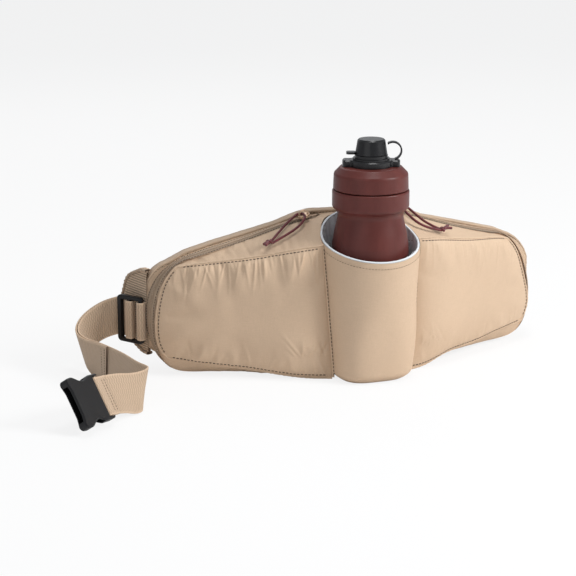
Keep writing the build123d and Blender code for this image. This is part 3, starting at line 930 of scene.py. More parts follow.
def strewn(points: Array) -> Array:
    """Outward normals of a grid: along its rows crossed with along its columns.

    Args:
        points: the grid.

    Returns:
        A normal for each point.
    """
    return unit(np.cross(np.gradient(points, axis=0), np.gradient(points, axis=1)))


# --------------------------------------------------------------------------
# Sub-assemblies
# --------------------------------------------------------------------------


@dataclass
class Panel:
    """Padded back panel: a curved pad faced with mesh, in a bound edge."""

    radius: float = 1000.0
    front: float = 50.0
    depth: float = 10.0
    end: float = 203.0
    corners: tuple[tuple[float, float], ...] = ((50, 155), (196, 108), (216, 62), (206, 20), (90, 5))
    rounds: tuple[float, ...] = (60, 30, 30, 30, 60)
    sag_left: tuple[tuple[float, float], ...] = (
        (20, 0), (50, 2.4), (78, 3.4), (106, 1.6), (141, -0.4), (166, -0.6), (183, 3.2), (203, 3),
    )
    sag_right: tuple[tuple[float, float], ...] = (
        (20, 0), (50, 5.0), (78, 7.0), (101, 5.2), (136, 3.0), (162, 1.6), (180, 3.5), (203, 9),
    )

    def y(self, x: Array, behind: float = 0.0) -> Array:
        """Y of the circular arc that lies this far behind the outer face.

        Args:
            x: place along the belt.
            behind: distance behind the outer face.

        Returns:
            Y at each x.
        """
        return self.front + self.radius - np.sqrt((self.radius - behind) ** 2 - x**2)

    def outline(self) -> Array:
        """Rounded front-view outline, cut at the two bends."""
        right = list(self.corners)
        left = [(-x, z) for x, z in reversed(right)]
        ring = even(rounded(right + left, self.rounds + self.rounds[::-1], steps=12), 400)
        ring[:, 0] = np.clip(ring[:, 0], -self.end, self.end)
        x, upper = ring[:, 0], np.clip((ring[:, 1] - 70) / 24, 0, 1)
        drop = np.where(x < 0, np.interp(-x, *np.array(self.sag_left).T), np.interp(x, *np.array(self.sag_right).T))
        ring[:, 1] -= drop * upper
        return ring

    def band(self, x: Array) -> tuple[Array, Array]:
        """Lowest and highest z of the outline at x.

        Args:
            x: places along the belt.

        Returns:
            Lowest z and highest z.
        """
        ring = even(np.vstack([self.outline(), self.outline()[:1]]), 900)
        top, low = ring[ring[:, 1] > PARTING_Z], ring[ring[:, 1] <= PARTING_Z]

        def height(run: Array) -> Array:
            """Height of one run of the outline at x."""
            return np.interp(x, *run[np.argsort(run[:, 0])].T)

        return height(low), height(top)

    def build(self, finishes: Finishes) -> None:
        """Two faces joined round the rim, quilted on the wearer's side.

        Args:
            finishes: the finishes to dress pieces with.
        """
        x = np.linspace(-self.end + 0.6, self.end - 0.6, 190)
        low, top = self.band(x)
        a = np.linspace(0, 2 * math.pi, 128, endpoint=False)
        c, s = np.cos(a), np.sin(a)
        lift = np.sign(c) * np.abs(c) ** 0.72
        z = ((low + top) / 2)[:, None] + ((top - low) / 2)[:, None] * lift
        puff = np.sign(s) * np.minimum(1, np.abs(s) * 5.0) ** 0.8
        deep = 5.0 - puff * 5.0
        back = s < 0
        quilt = sum(np.exp(-((x[:, None] - at - (z - 80) * lean) / 3.0) ** 2)
                    for at, lean in ((-118, -0.25), (-42, 0), (42, 0), (118, 0.25)))
        crown = 1 - np.abs(lift) ** 4
        deep = deep + back * (crown * 0.8 - quilt * crown * 2.4)
        yy = self.front + self.radius - np.sqrt((self.radius - deep) ** 2 - x[:, None] ** 2)
        points = np.stack([np.broadcast_to(x[:, None], z.shape), yy, z], -1)
        flat = np.concatenate([points, points[:, :1]], 1)[..., [0, 2]] * MM
        pad = skin("back_pad", points, flat, (False, True), flip=True)
        finishes.dress(pad, "spacer_mesh")
        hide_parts("back_wall", "back_foam", "back_mesh")
        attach(pad, "pack")
        v = np.linspace(0.02, 0.98, 40)
        z = low[:, None] + (top - low)[:, None] * v
        x = np.broadcast_to(x[:, None], z.shape)
        face = np.stack([x, self.y(x) - 0.5, z], -1)
        cloth = skin("back_face", face, face[..., [0, 2]] * MM)
        finishes.dress(cloth, "pack_cloth")
        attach(cloth, "pack")
        self.rim(finishes)
        LOG.info("panel built")

    def rim(self, finishes: Finishes) -> None:
        """Binding folded over the pad's edge: a flat oval carried round the outline.

        Args:
            finishes: the finishes to dress pieces with.
        """
        ring = even(np.vstack([self.outline(), self.outline()[:1]]), 420)[:-1]
        centre = np.stack([ring[:, 0], self.y(ring[:, 0], 5.0), ring[:, 1]], 1)
        away = np.stack([0 * ring[:, 0], 1 + 0 * ring[:, 0], 0 * ring[:, 0]], 1)
        wave = 0.25 * np.sin(np.arange(420 - 1) * 0.61) + 0.2 * np.sin(np.arange(420 - 1) * 1.73)
        points = carried(centre, flat_oval(3.0, 11.2, 3.2, 20), away, closed=True)
        points += (wave[:, None, None] * unit(points - centre[:, None])) * 0.6
        band = skin("back_rim", points, span_map(points, (True, True)), (True, True))
        finishes.dress(band, "binding")
        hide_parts("back_binding")
        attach(band, "pack")


@dataclass
class Pocket:
    """Zipped side pocket: gathered front panel, creased gusset, tapes and coil.

    The front seam F, the gusset's crest A and the panel edge B are splines through the
    stations, with matching points, from the top by the sleeve, round the outer end, to the bottom.
    """

    side: Side
    panel: Panel
    seed: int
    stations: Mapping[str, Sequence[Station]]
    counts: Mapping[str, int] = field(default_factory=lambda: {"top": 110, "end": 70, "low": 100})
    inner: tuple[tuple[float, float, float], ...] = (
        (41.6, -9.8, 0.8), (43.3, -7.8, 35), (46.1, -4.1, 90), (47.9, -0.8, 131.3),
    )
    zip_line: tuple[float, float] = (11.0, 8.4)
    tape: float = 6.2
    zip_start: float = 37.0
    zip_end: float = 0.66
    bulge: float = 6.5
    gather: float = 1.0

    @property
    def count(self) -> int:
        """Points along the whole seam."""
        return sum(self.counts.values())

    def place(self, points: Array) -> Array:
        """Points taken over to this side.

        Args:
            points: points as on the right.

        Returns:
            Points on this side.
        """
        return points * np.array([self.side.value, 1, 1])

    def lay(self, name: str, points: Array, uv: Array, slot: str, nodes: Sequence[str] = ()) -> bpy.types.Object:
        """Make one surface of this pocket, dressed and riding on the pack.

        Args:
            name: name without its side.
            points: the grid, as on the right.
            uv: its map.
            slot: finish.
            nodes: nodes it stands for, without their side.

        Returns:
            The new object.
        """
        piece = skin(f"{self.side.word}_{name}", self.place(points), uv, flip=self.side is Side.LEFT)
        self.finishes.dress(piece, slot)
        if nodes:
            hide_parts(*(f"{self.side.word}_{n}" for n in nodes))
        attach(piece, "pack")
        return piece

    def arcs(self, column: int) -> list[Array]:
        """One line of the stations, as its top, end and bottom runs.

        Args:
            column: 0 for the front seam, 1 for the crest, 2 for the panel edge.

        Returns:
            Three runs of points.
        """
        runs = []
        for name, count in self.counts.items():
            points = np.array([station[column] for station in self.stations[name]], float)
            if points.shape[1] == 2:
                points = np.stack([points[:, 0], self.panel.y(points[:, 0]) + 0.3, points[:, 1]], 1)
            runs.append(smooth_line(points, count))
        return runs

    def lines(self) -> tuple[Array, Array, Array, Array]:
        """Front seam, crest of the gusset, zip line and panel edge at matching points."""
        f, crest, b = (eased(np.concatenate(self.arcs(column)), reach)
                       for column, reach in ((0, 2), (1, 14), (2, 12)))
        t = np.linspace(0, 1, self.count)[:, None]
        c = b + unit(crest - b) * np.interp(t, [0.25, 0.55], self.zip_line)
        return f, crest, c, b

    def gusset(self) -> None:
        """Creased strip from the front seam over the ridge to the zip, and on to the panel."""
        f, crest, c, b = self.lines()
        slope = unit(b - c)
        near, far = c - slope * self.tape, c + slope * self.tape
        w = np.linspace(0, 1, 34)[None, :, None]
        front = (1 - w) ** 2 * f[:, None] + 2 * w * (1 - w) * crest[:, None] + w**2 * near[:, None]
        along = np.broadcast_to(travelled((f + b) / 2)[:, None], (self.count, 34))
        across = np.broadcast_to(w[0, :, 0][None] * 30, along.shape)
        rng = np.random.default_rng(self.seed)
        strokes = np.concatenate([
            gathers(rng, (4, 460), lambda x: 0 * x, 80, (10, 28), (1.1, 3.4), (0.25, 0.8), 0.35, 1.0),
            gathers(rng, (60, 250), lambda x: 0 * x + 30, 34, (8, 22), (1.2, 2.8), (0.3, 0.9), 0.3, -1.0),
        ])
        lift = ripples(along, across, strokes) * (np.sin(math.pi * w[..., 0]) ** 0.5)
        front = front + strewn(front) * -lift[..., None] * self.gather
        front[..., 2] = np.maximum(front[..., 2], 0.35)
        uv = np.stack([along, across], -1) * MM
        cloth = self.lay("gusset_cloth", front, uv, "pack_cloth", ("pocket_gusset",))
        sewn_sheet(GUSSET_CUT)
        w = np.linspace(0, 1, 6)[None, :, None]
        behind = far[:, None] * (1 - w) + b[:, None] * w
        uv = np.stack([along[:, :6], np.broadcast_to(w[0, :, 0][None] * 4, (self.count, 6))], -1) * MM
        self.lay("gusset_back", behind, uv, "pack_cloth")
        self.zip(c, slope)
        self.piping(f)

    def zip(self, c: Array, slope: Array) -> None:
        """Two tapes either side of the coil, and the coil's teeth across the line.

        Args:
            c: points of the zip line.
            slope: the tape's way across at each point.
        """
        first, last = int(np.argmax(c[:, 0] > self.zip_start)), int(self.count * self.zip_end)
        out = unit(np.cross(np.gradient(c, axis=0), slope))
        out *= np.where((out * (c - POCKET_HEART)).sum(1, keepdims=True) < 0, -1, 1)
        w = np.linspace(-1, 1, 13)[None, :, None]
        dome = 0.9 * np.exp(-((w * self.tape / 2.6) ** 2)) + 0.35
        runs = {"zip_tapes": (slice(first, last), dome), "gusset_head": (slice(0, first + 1), 0.1),
                "gusset_end": (slice(last - 1, None), 0.1)}
        for name, (run, high) in runs.items():
            strip = c[run, None] + slope[run, None] * w * (self.tape + 0.4) + out[run, None] * high
            along = np.broadcast_to(travelled(c[run])[:, None], strip.shape[:2])
            across = np.broadcast_to((w[0, :, 0] + 1) * self.tape, strip.shape[:2])
            zipped = name == "zip_tapes"
            self.lay(name, strip, np.stack([along, across], -1) * MM,
                     "zip_tape" if zipped else "pack_cloth", ("zip_tape",) if zipped else ())
        part = slice(first, last)
        d = travelled(c[part])
        at = np.arange(1, d[-1] - 1, 1.6)
        middles, leans, ups = (picked(line[part], d, at) for line in (c, slope, out))
        teeth = dots(f"{self.side.word}_coil_teeth", self.place(middles + ups * 1.45),
                     self.place(leans), self.place(unit(ups)), (4.4, 1.1, 1.5))
        self.finishes.dress(teeth, "zip_coil")
        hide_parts(f"{self.side.word}_zip_coil")
        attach(teeth, "pack")
        for k, off in enumerate((-self.tape + 0.9, self.tape - 0.9)):
            row = stitches(f"{self.side.word}_zip_stitches_{k}",
                           self.place(c[part] + slope[part] * off + out[part] * 0.6), self.place(out[part]),
                           2.8, (1.9, 1.0, 0.6))
            self.finishes.dress(row, "pack_cloth", "thread")
            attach(row, "pack")

    def piping(self, f: Array) -> None:
        """Turned seam between front and gusset: a small roll carried along F.

        Args:
            f: points of the front seam.
        """
        fine = even(f, 520)
        out = unit(fine * [1, 0, 1] - np.array([120, 0, 62]))
        angle = np.linspace(0, 2 * math.pi, 10, endpoint=False)
        size = 1.15 + 0.18 * np.sin(np.arange(520) * 0.9) * np.sin(np.arange(520) * 0.23)
        roll = carried(fine, np.stack([np.cos(angle), np.sin(angle)], 1), out)
        roll = fine[:, None] + (roll - fine[:, None]) * size[:, None, None]
        roll[..., 2] = np.maximum(roll[..., 2], 0.2)
        self.lay("seam_roll", np.concatenate([roll, roll[:, :1]], 1),
                 span_map(np.concatenate([roll, roll[:, :1]], 1)), "pack_cloth")

    def front(self) -> None:
        """Crowned front panel with gathers under its top seam and long soft folds.

        It is a Coons patch: (1 - v) low + v top + (1 - s) inner + s end, less the blend
        of the four corners, pushed out along its facing by crown and folds.
        """
        rows, cols = 250, 150
        seam = self.lines()[0]
        first, last = self.counts["top"], self.counts["top"] + self.counts["end"]
        top, end = even(seam[:first], rows), even(seam[first - 1:last + 1][::-1], cols)
        low = even(seam[last:][::-1], rows)
        inner = smooth_line([low[0], *self.inner[1:-1], top[0]], cols)
        s, v = np.linspace(0, 1, rows)[:, None, None], np.linspace(0, 1, cols)[None, :, None]
        patch = (1 - v) * low[:, None] + v * top[:, None] + (1 - s) * inner[None] + s * end[None]
        patch = patch - ((1 - s) * (1 - v) * low[0] + s * (1 - v) * low[-1]
                         + (1 - s) * v * top[0] + s * v * top[-1])
        facing = FACING
        s2, v2 = s[..., 0], v[..., 0]
        roll = (1 - np.abs(2 * v2 - 1) ** 5) ** 0.7
        side = (1 - s2**7) ** 0.7 * (1 - np.exp(-s2 / 0.07))
        hang = 1 + 0.45 * np.exp(-(((v2 - 0.22) / 0.25) ** 2)) * np.exp(-(((s2 - 0.22) / 0.35) ** 2))
        patch = patch + facing * (self.bulge * roll * side * hang)[..., None]
        along = (patch[..., 0] - 50) / -facing[1]
        across = patch[..., 2]
        rng = np.random.default_rng(self.seed + 5)

        def head(x: Array) -> Array:
            """Height of the upper gathers at x."""
            return np.interp(x, [0, 160], [131, 102])

        def foot(x: Array) -> Array:
            """Height of the lower gathers at x."""
            return np.interp(x, [0, 160], [4, 20])

        strokes = np.concatenate([
            gathers(rng, (4, 150), head, 46, (8, 40), (0.9, 2.4), (0.25, 0.85), 0.35),
            gathers(rng, (0, 145), foot, 26, (8, 30), (1.2, 3.4), (0.25, 0.8), 0.5, 1.0),
            gathers(rng, (0, 30), lambda x: 26 + 0 * x, 10, (12, 26), (1.0, 2.4), (0.3, 0.7), 0.9, 1.0),
            self.folds(),
        ])
        lift = ripples(along, across, strokes) * self.gather
        lift = lift * np.clip((1 - np.abs(2 * v2 - 1)) * 9, 0, 1) * np.clip((1 - s2) * 9, 0, 1)
        patch = patch + facing * lift[..., None]
        patch[..., 2] = np.maximum(patch[..., 2], 0.3)
        uv = np.stack([along, across], -1) * MM
        cloth = self.lay("front_cloth", patch, uv, "pack_cloth", ("pocket_front",))
        sewn_sheet(FRONT_CUT)
        self.seam_stitches(patch, facing)

    def folds(self) -> Array:
        """Long soft folds that fan down and across the panel."""
        return np.array([
            (20, 128, 60, 62, 7, 1.5), (48, 122, 36, 60, 6, -1.2), (70, 118, 112, 52, 8, 1.6),
            (96, 112, 84, 50, 7, -1.3), (118, 108, 146, 48, 8, 1.4), (136, 104, 128, 46, 6, -1.0),
            (150, 92, 108, 66, 6, 1.1), (152, 34, 104, 58, 7, 1.2), (120, 20, 84, 60, 8, 1.3),
            (70, 10, 96, 52, 8, -1.1), (30, 8, 52, 60, 8, 1.2), (6, 30, 44, 46, 7, 1.1),
            (4, 96, 40, 84, 6, -1.0), (150, 60, 112, 64, 5, -0.9),
        ], float)

    def seam_stitches(self, patch: Array, facing: Array) -> None:
        """Topstitch 4 mm inside the front seam, along the top, the end and the bottom.

        Args:
            patch: the front's grid.
            facing: way that the front looks.
        """
        rows = {"top": patch[6:-7, -4], "end": patch[-5, 8:-8], "low": patch[6:-7, 4]}
        for name, line in rows.items():
            row = stitches(f"{self.side.word}_front_stitches_{name}", self.place(line + facing * 0.15),
                           self.place(facing[None]), 3.6, (2.4, 1.35, 0.9))
            self.finishes.dress(row, "pack_cloth", "thread")
            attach(row, "pack")

    def build(self, finishes: Finishes) -> None:
        """Front, gusset, zip and seams.

        Args:
            finishes: the finishes to dress pieces with.
        """
        self.finishes = finishes
        self.front()
        self.gusset()
        LOG.info("%s pocket built", self.side.word)


@dataclass
class Sleeve:
    """Padded bottle sleeve: tapered shell with a slanted, bound mouth."""

    base: float = 41.2
    top: float = 49.8
    height: float = 160.0
    mouth: float = 133.6
    slope: float = 0.275
    wall: float = 3.2
    pinch: float = 6.0
    climb: float = 6.5

    def radius(self, z: Array, angle: float | Array = math.pi) -> Array:
        """Outer radius at a height, drawn in near the floor on the right.

        Args:
            z: height.
            angle: angle about Z.

        Returns:
            Radius.
        """
        pinch = self.pinch * np.clip(1 - z / 48, 0, 1) ** 1.5 * np.clip(np.cos(angle), 0, 1) ** 2
        return self.base + (self.top - self.base) * z / self.height - pinch

    def ring(self, angle: Array, inset: float = 0.0) -> tuple[Array, Array]:
        """Radius and height of the mouth at each angle.

        Height is mouth + slope * r * sin(angle), and climbs further behind the bottle,
        as climb * sin(angle) ** 1.5.
        """
        r = self.radius(np.full_like(angle, self.mouth)) - inset
        back = self.climb * np.clip(np.sin(angle), 0, 1) ** 1.5
        z = self.mouth + self.slope * r * np.sin(angle) + back
        r = self.radius(z) - inset
        return r, self.mouth + self.slope * r * np.sin(angle) + back

    def wall_grid(self, inset: float, floor: float, rows: int, square: float) -> Array:
        """Wall from the floor to the mouth; its foot is a superellipse that rounds off upwards.

        Args:
            inset: distance inside the outer wall.
            floor: height of the foot.
            rows: rows of points.
            square: what the superellipse's exponent gains over 2 at the foot.

        Returns:
            Grid of points.
        """
        angle = np.linspace(0, 2 * math.pi, 192, endpoint=False)
        _, head = self.ring(angle, inset)
        t = np.linspace(0, 1, rows)[:, None]
        z = floor + (head - floor)[None] * t
        r = self.radius(z, angle) - inset
        power = 2 + square * np.exp(-((z / 46.0) ** 2))
        grow = (np.abs(np.cos(angle)) ** power + np.abs(np.sin(angle)) ** power) ** (-1 / power)
        grow = np.where(np.sin(angle) < 0, grow, 1.0)
        return np.stack([r * grow * np.cos(angle), r * grow * np.sin(angle), z], -1)

    def build(self, finishes: Finishes) -> None:
        """Shell, lining, bound rim, base and side seams.

        Args:
            finishes: the finishes to dress pieces with.
        """
        outer = self.wall_grid(0.0, 0.0, 100, 1.2)
        angle = np.arctan2(outer[..., 1], outer[..., 0])
        z = outer[..., 2]
        away = unit(outer * [1, 1, 0])
        soft = 0.5 * np.sin(angle * 3 + z * 0.05) + 0.35 * np.sin(angle * 7 - z * 0.08 + 1.3)
        roll = 8.0 * np.clip(1 - z / 9.0, 0, 1) ** 2
        outer = outer + away * (soft * np.clip(z / 20, 0, 1) * 0.6 - roll)[..., None]
        under = outer[0] * np.linspace(0.0, 0.93, 9)[:, None, None]
        under[..., 2] = 0.0
        shell = np.concatenate([under, outer])
        uv = span_map(outer, (False, True))
        flat = np.concatenate([uv[:1] - np.linspace(0.045, 0.003, 9)[:, None, None] * [1, 0], uv])
        body = skin("sleeve_cloth", shell, flat, (False, True), flip=True)
        finishes.dress(body, "pack_cloth")
        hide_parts("sleeve_shell", "sleeve_base")
        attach(body, "pack")
        inner = self.wall_grid(self.wall, 8.0, 60, 0.0)
        floor = inner[0] * np.linspace(0.0, 0.98, 10)[:, None, None]
        floor[..., 2] = 8.0
        whole = np.concatenate([floor, inner])
        turn = np.arange(192) * math.pi / 96
        pleat = np.sin(turn * 27 + 1.6 * np.sin(turn * 5)) + 0.5 * np.sin(turn * 11 + 0.7)
        crease = 0.75 * pleat[None] * np.clip(whole[..., 2] / 130, 0, 1)
        whole = whole + (unit(whole * [1, 1, 0.0001]) * crease[..., None]) * [1, 1, 0]
        lining = skin("sleeve_inside", whole, span_map(whole, (False, True)), (False, True))
        finishes.dress(lining, "lining")
        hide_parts("sleeve_lining", "sleeve_padding", "sleeve_base_pad")
        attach(lining, "pack")
        self.edge(finishes)
        self.side_seams(finishes)
        LOG.info("sleeve built")

    def edge(self, finishes: Finishes) -> None:
        """Pale folded rim along the mouth, with a row of stitches below it.

        Args:
            finishes: the finishes to dress pieces with.
        """
        angle = np.linspace(0, 2 * math.pi, 240, endpoint=False)
        r, z = self.ring(angle, self.wall / 2 + 0.2)
        line = np.stack([r * np.cos(angle), r * np.sin(angle), z - 0.4], 1)
        up = np.array([0, -self.slope, 1.0])
        points = carried(line, flat_oval(2.3, 2.6, 2.4, 18), up, closed=True)
        band = skin("sleeve_rim", points, span_map(points, (True, True)), (True, True))
        finishes.dress(band, "binding", "rim_cloth")
        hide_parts("sleeve_rim_binding")
        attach(band, "pack")
        r, z = self.ring(angle, -0.35)
        low = np.stack([r * np.cos(angle), r * np.sin(angle), z - 5.5], 1)
        front = (np.sin(angle) < 0.05)
        order = np.argsort(angle[front])
        path = low[front][order]
        row = stitches("sleeve_rim_stitches", path, unit(path * [1, 1, 0]), 3.0, (2.0, 0.5, 0.4))
        finishes.dress(row, "pack_cloth", "thread")
        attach(row, "pack")

    def side_seams(self, finishes: Finishes) -> None:
        """Raised double seams where the sleeve's sides meet the pockets.

        Args:
            finishes: the finishes to dress pieces with.
        """
        for side in Side:
            z = np.linspace(2, 130.5, 60)
            r = self.radius(z, 0.0 if side is Side.RIGHT else math.pi)
            lean = np.radians(np.interp(z, [0, 35, 90, 130], [-14.5, -11.5, -6.5, -1.5]))
            line = np.stack([side.value * (r + 0.7) * np.cos(lean), (r + 0.7) * np.sin(lean), z], 1)
            away = unit(line * [1, 1, 0])
            points = carried(line, flat_oval(3.4, 1.5, 2.2, 12), away)
            roll = skin(f"{side.word}_sleeve_seam", points, span_map(points, (False, True)), (False, True))
            finishes.dress(roll, "pack_cloth")
            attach(roll, "pack")
            row = stitches(f"{side.word}_sleeve_stitches", line + away * 0.1 + np.array([0, -3.0, 0]),
                           away, 3.6, (2.4, 1.35, 0.9))
            finishes.dress(row, "pack_cloth", "thread")
            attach(row, "pack")


@dataclass
class Wing:
    """Padded mesh flap beyond a pocket, its bound edge and the webbing loop on it."""

    side: Side
    panel: Panel
    turn: float
    length: float = 37.0
    depth: float = 5.0
    profile: tuple[tuple[float, float], ...] = (
        (-9, 19), (0, 19), (29, 30), (37.5, 62), (25.5, 91), (0, 102), (-9, 102),
    )
    hinge: tuple[float, float] = (210.2, 70.3)
    start: tuple[float, float] = (203.3, 73.1)
    web: float = 38.0
    web_z: float = 52.0

    def axes(self) -> tuple[Array, Array, Array]:
        """Root of the flap, the way it runs and its outward normal, right-hand side."""
        a = math.radians(self.turn)
        along = np.array([math.cos(a), math.sin(a), 0.0])
        root = np.array([self.panel.end + 2.2, float(self.panel.y(np.array(self.panel.end))) + 7.9, 0.0])
        return root, along, np.array([math.sin(a), -math.cos(a), 0.0])

    def place(self, points: Array) -> Array:
        """Points taken over to this side.

        Args:
            points: points as on the right.

        Returns:
            Points on this side.
        """
        return points * np.array([self.side.value, 1, 1])

    def build(self, finishes: Finishes) -> None:
        """Flap, binding and anchor loop.

        Args:
            finishes: the finishes to dress pieces with.
        """
        root, along, away = self.axes()
        edge = rounded(self.profile, (1, 14, 22, 22, 22, 14, 1), closed=False, steps=9)
        middle = int(np.argmax(edge[:, 0]))
        rows, cols = 46, 56
        u = np.sin(np.linspace(0, math.pi / 2, rows))
        a = edge[0, 0] + (edge[middle, 0] - edge[0, 0] - 0.05) * u
        low = np.interp(a, edge[:middle + 1, 0], edge[:middle + 1, 1])
        high = np.interp(a, edge[middle:, 0][::-1], edge[middle:, 1][::-1])
        phi = np.linspace(0, 2 * math.pi, cols, endpoint=False)
        c, s = np.cos(phi), np.sin(phi)
        z = ((low + high) / 2)[:, None] + ((high - low) / 2)[:, None] * c * 0.985
        pinch = np.clip((a[-1] - a) / 6.0, 0.02, 1) ** 0.5
        thick = self.depth / 2 * np.sign(s) * np.abs(s) ** 0.45 * pinch[:, None]
        radial = 0.35 * np.sin(np.arctan2(z - 60, a[:, None] + 14) * 26) * np.clip(a[:, None] / 16, 0, 1)
        thick = thick * (1 + 0.12 * radial)
        points = root + a[:, None, None] * along + thick[..., None] * away
        points = points + z[..., None] * np.array([0, 0, 1.0])
        flat = np.stack([np.broadcast_to(a[:, None], z.shape), z], -1)
        flat = np.concatenate([flat, flat[:, :1]], 1) * MM
        pad = skin(f"{self.side.word}_flap_pad", self.place(points), flat, (False, True),
                   flip=self.side is Side.RIGHT)
        finishes.dress(pad, "spacer_mesh")
        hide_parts(f"{self.side.word}_wing_flap")
        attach(pad, "pack")
        line = even(edge[2:-2], 160)
        centre = root + line[:, :1] * along + line[:, 1:] * np.array([0, 0, 1.0])
        points = carried(centre, flat_oval(3.0, self.depth + 2.0, 2.6, 16), away)
        gather = 0.3 * np.sin(np.arange(160) * 1.1) + 0.22 * np.sin(np.arange(160) * 2.3)
        points += gather[:, None, None] * unit(points - centre[:, None])
        band = skin(f"{self.side.word}_flap_rim", self.place(points), span_map(points, (False, True)),
                    (False, True), flip=self.side is Side.LEFT)
        finishes.dress(band, "binding")
        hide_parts(f"{self.side.word}_flap_binding")
        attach(band, "pack")
        self.anchor(finishes)
        LOG.info("%s wing built", self.side.word)

    def anchor(self, finishes: Finishes) -> None:
        """Webbing folded round the tri-glide's inner bar and sewn back on itself.

        Args:
            finishes: the finishes to dress pieces with.
        """
        start, hub = np.array(self.start), np.array(self.hinge)
        way = unit(hub - start)
        side = np.array([-way[1], way[0]])
        a = np.linspace(math.radians(150), math.radians(-150), 30)
        loop = hub + 3.7 * (np.cos(a)[:, None] * way + np.sin(a)[:, None] * side)
        path = np.concatenate([[start + side * 0.95], loop, [start - side * 0.95]])
        path = even(path, 60)
        line = np.column_stack([path, np.full(60, self.web_z)])
        points = carried(line, flat_oval(1.7, self.web, 6, 24), np.array([0, 0, 1.0]))
        uv = web_map(points)
        piece = skin(f"{self.side.word}_anchor_loop", self.place(points), uv, (False, True),
                     flip=self.side is Side.LEFT)
        finishes.dress(piece, "webbing")
        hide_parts(f"{self.side.word}_anchor_webbing")
        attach(piece, "pack")


def web_map(points: Array) -> Array:
    """Map of a strip in metres: u is the way along it, v the place across its width.

    Args:
        points: the grid.

    Returns:
        The map.
    """
    u = travelled(points.mean(1))
    grid = np.concatenate([points, points[:, :1]], 1)
    mid = points.mean(1, keepdims=True)
    width = unit(points[:, np.argmax(np.linalg.norm(points - mid, axis=-1)[0])] - mid[:, 0])
    v = ((grid - mid) * width[:, None]).sum(-1)
    v = v - v.min(1, keepdims=True)
    return np.stack([np.broadcast_to(u[:, None], v.shape), v], -1) * MM


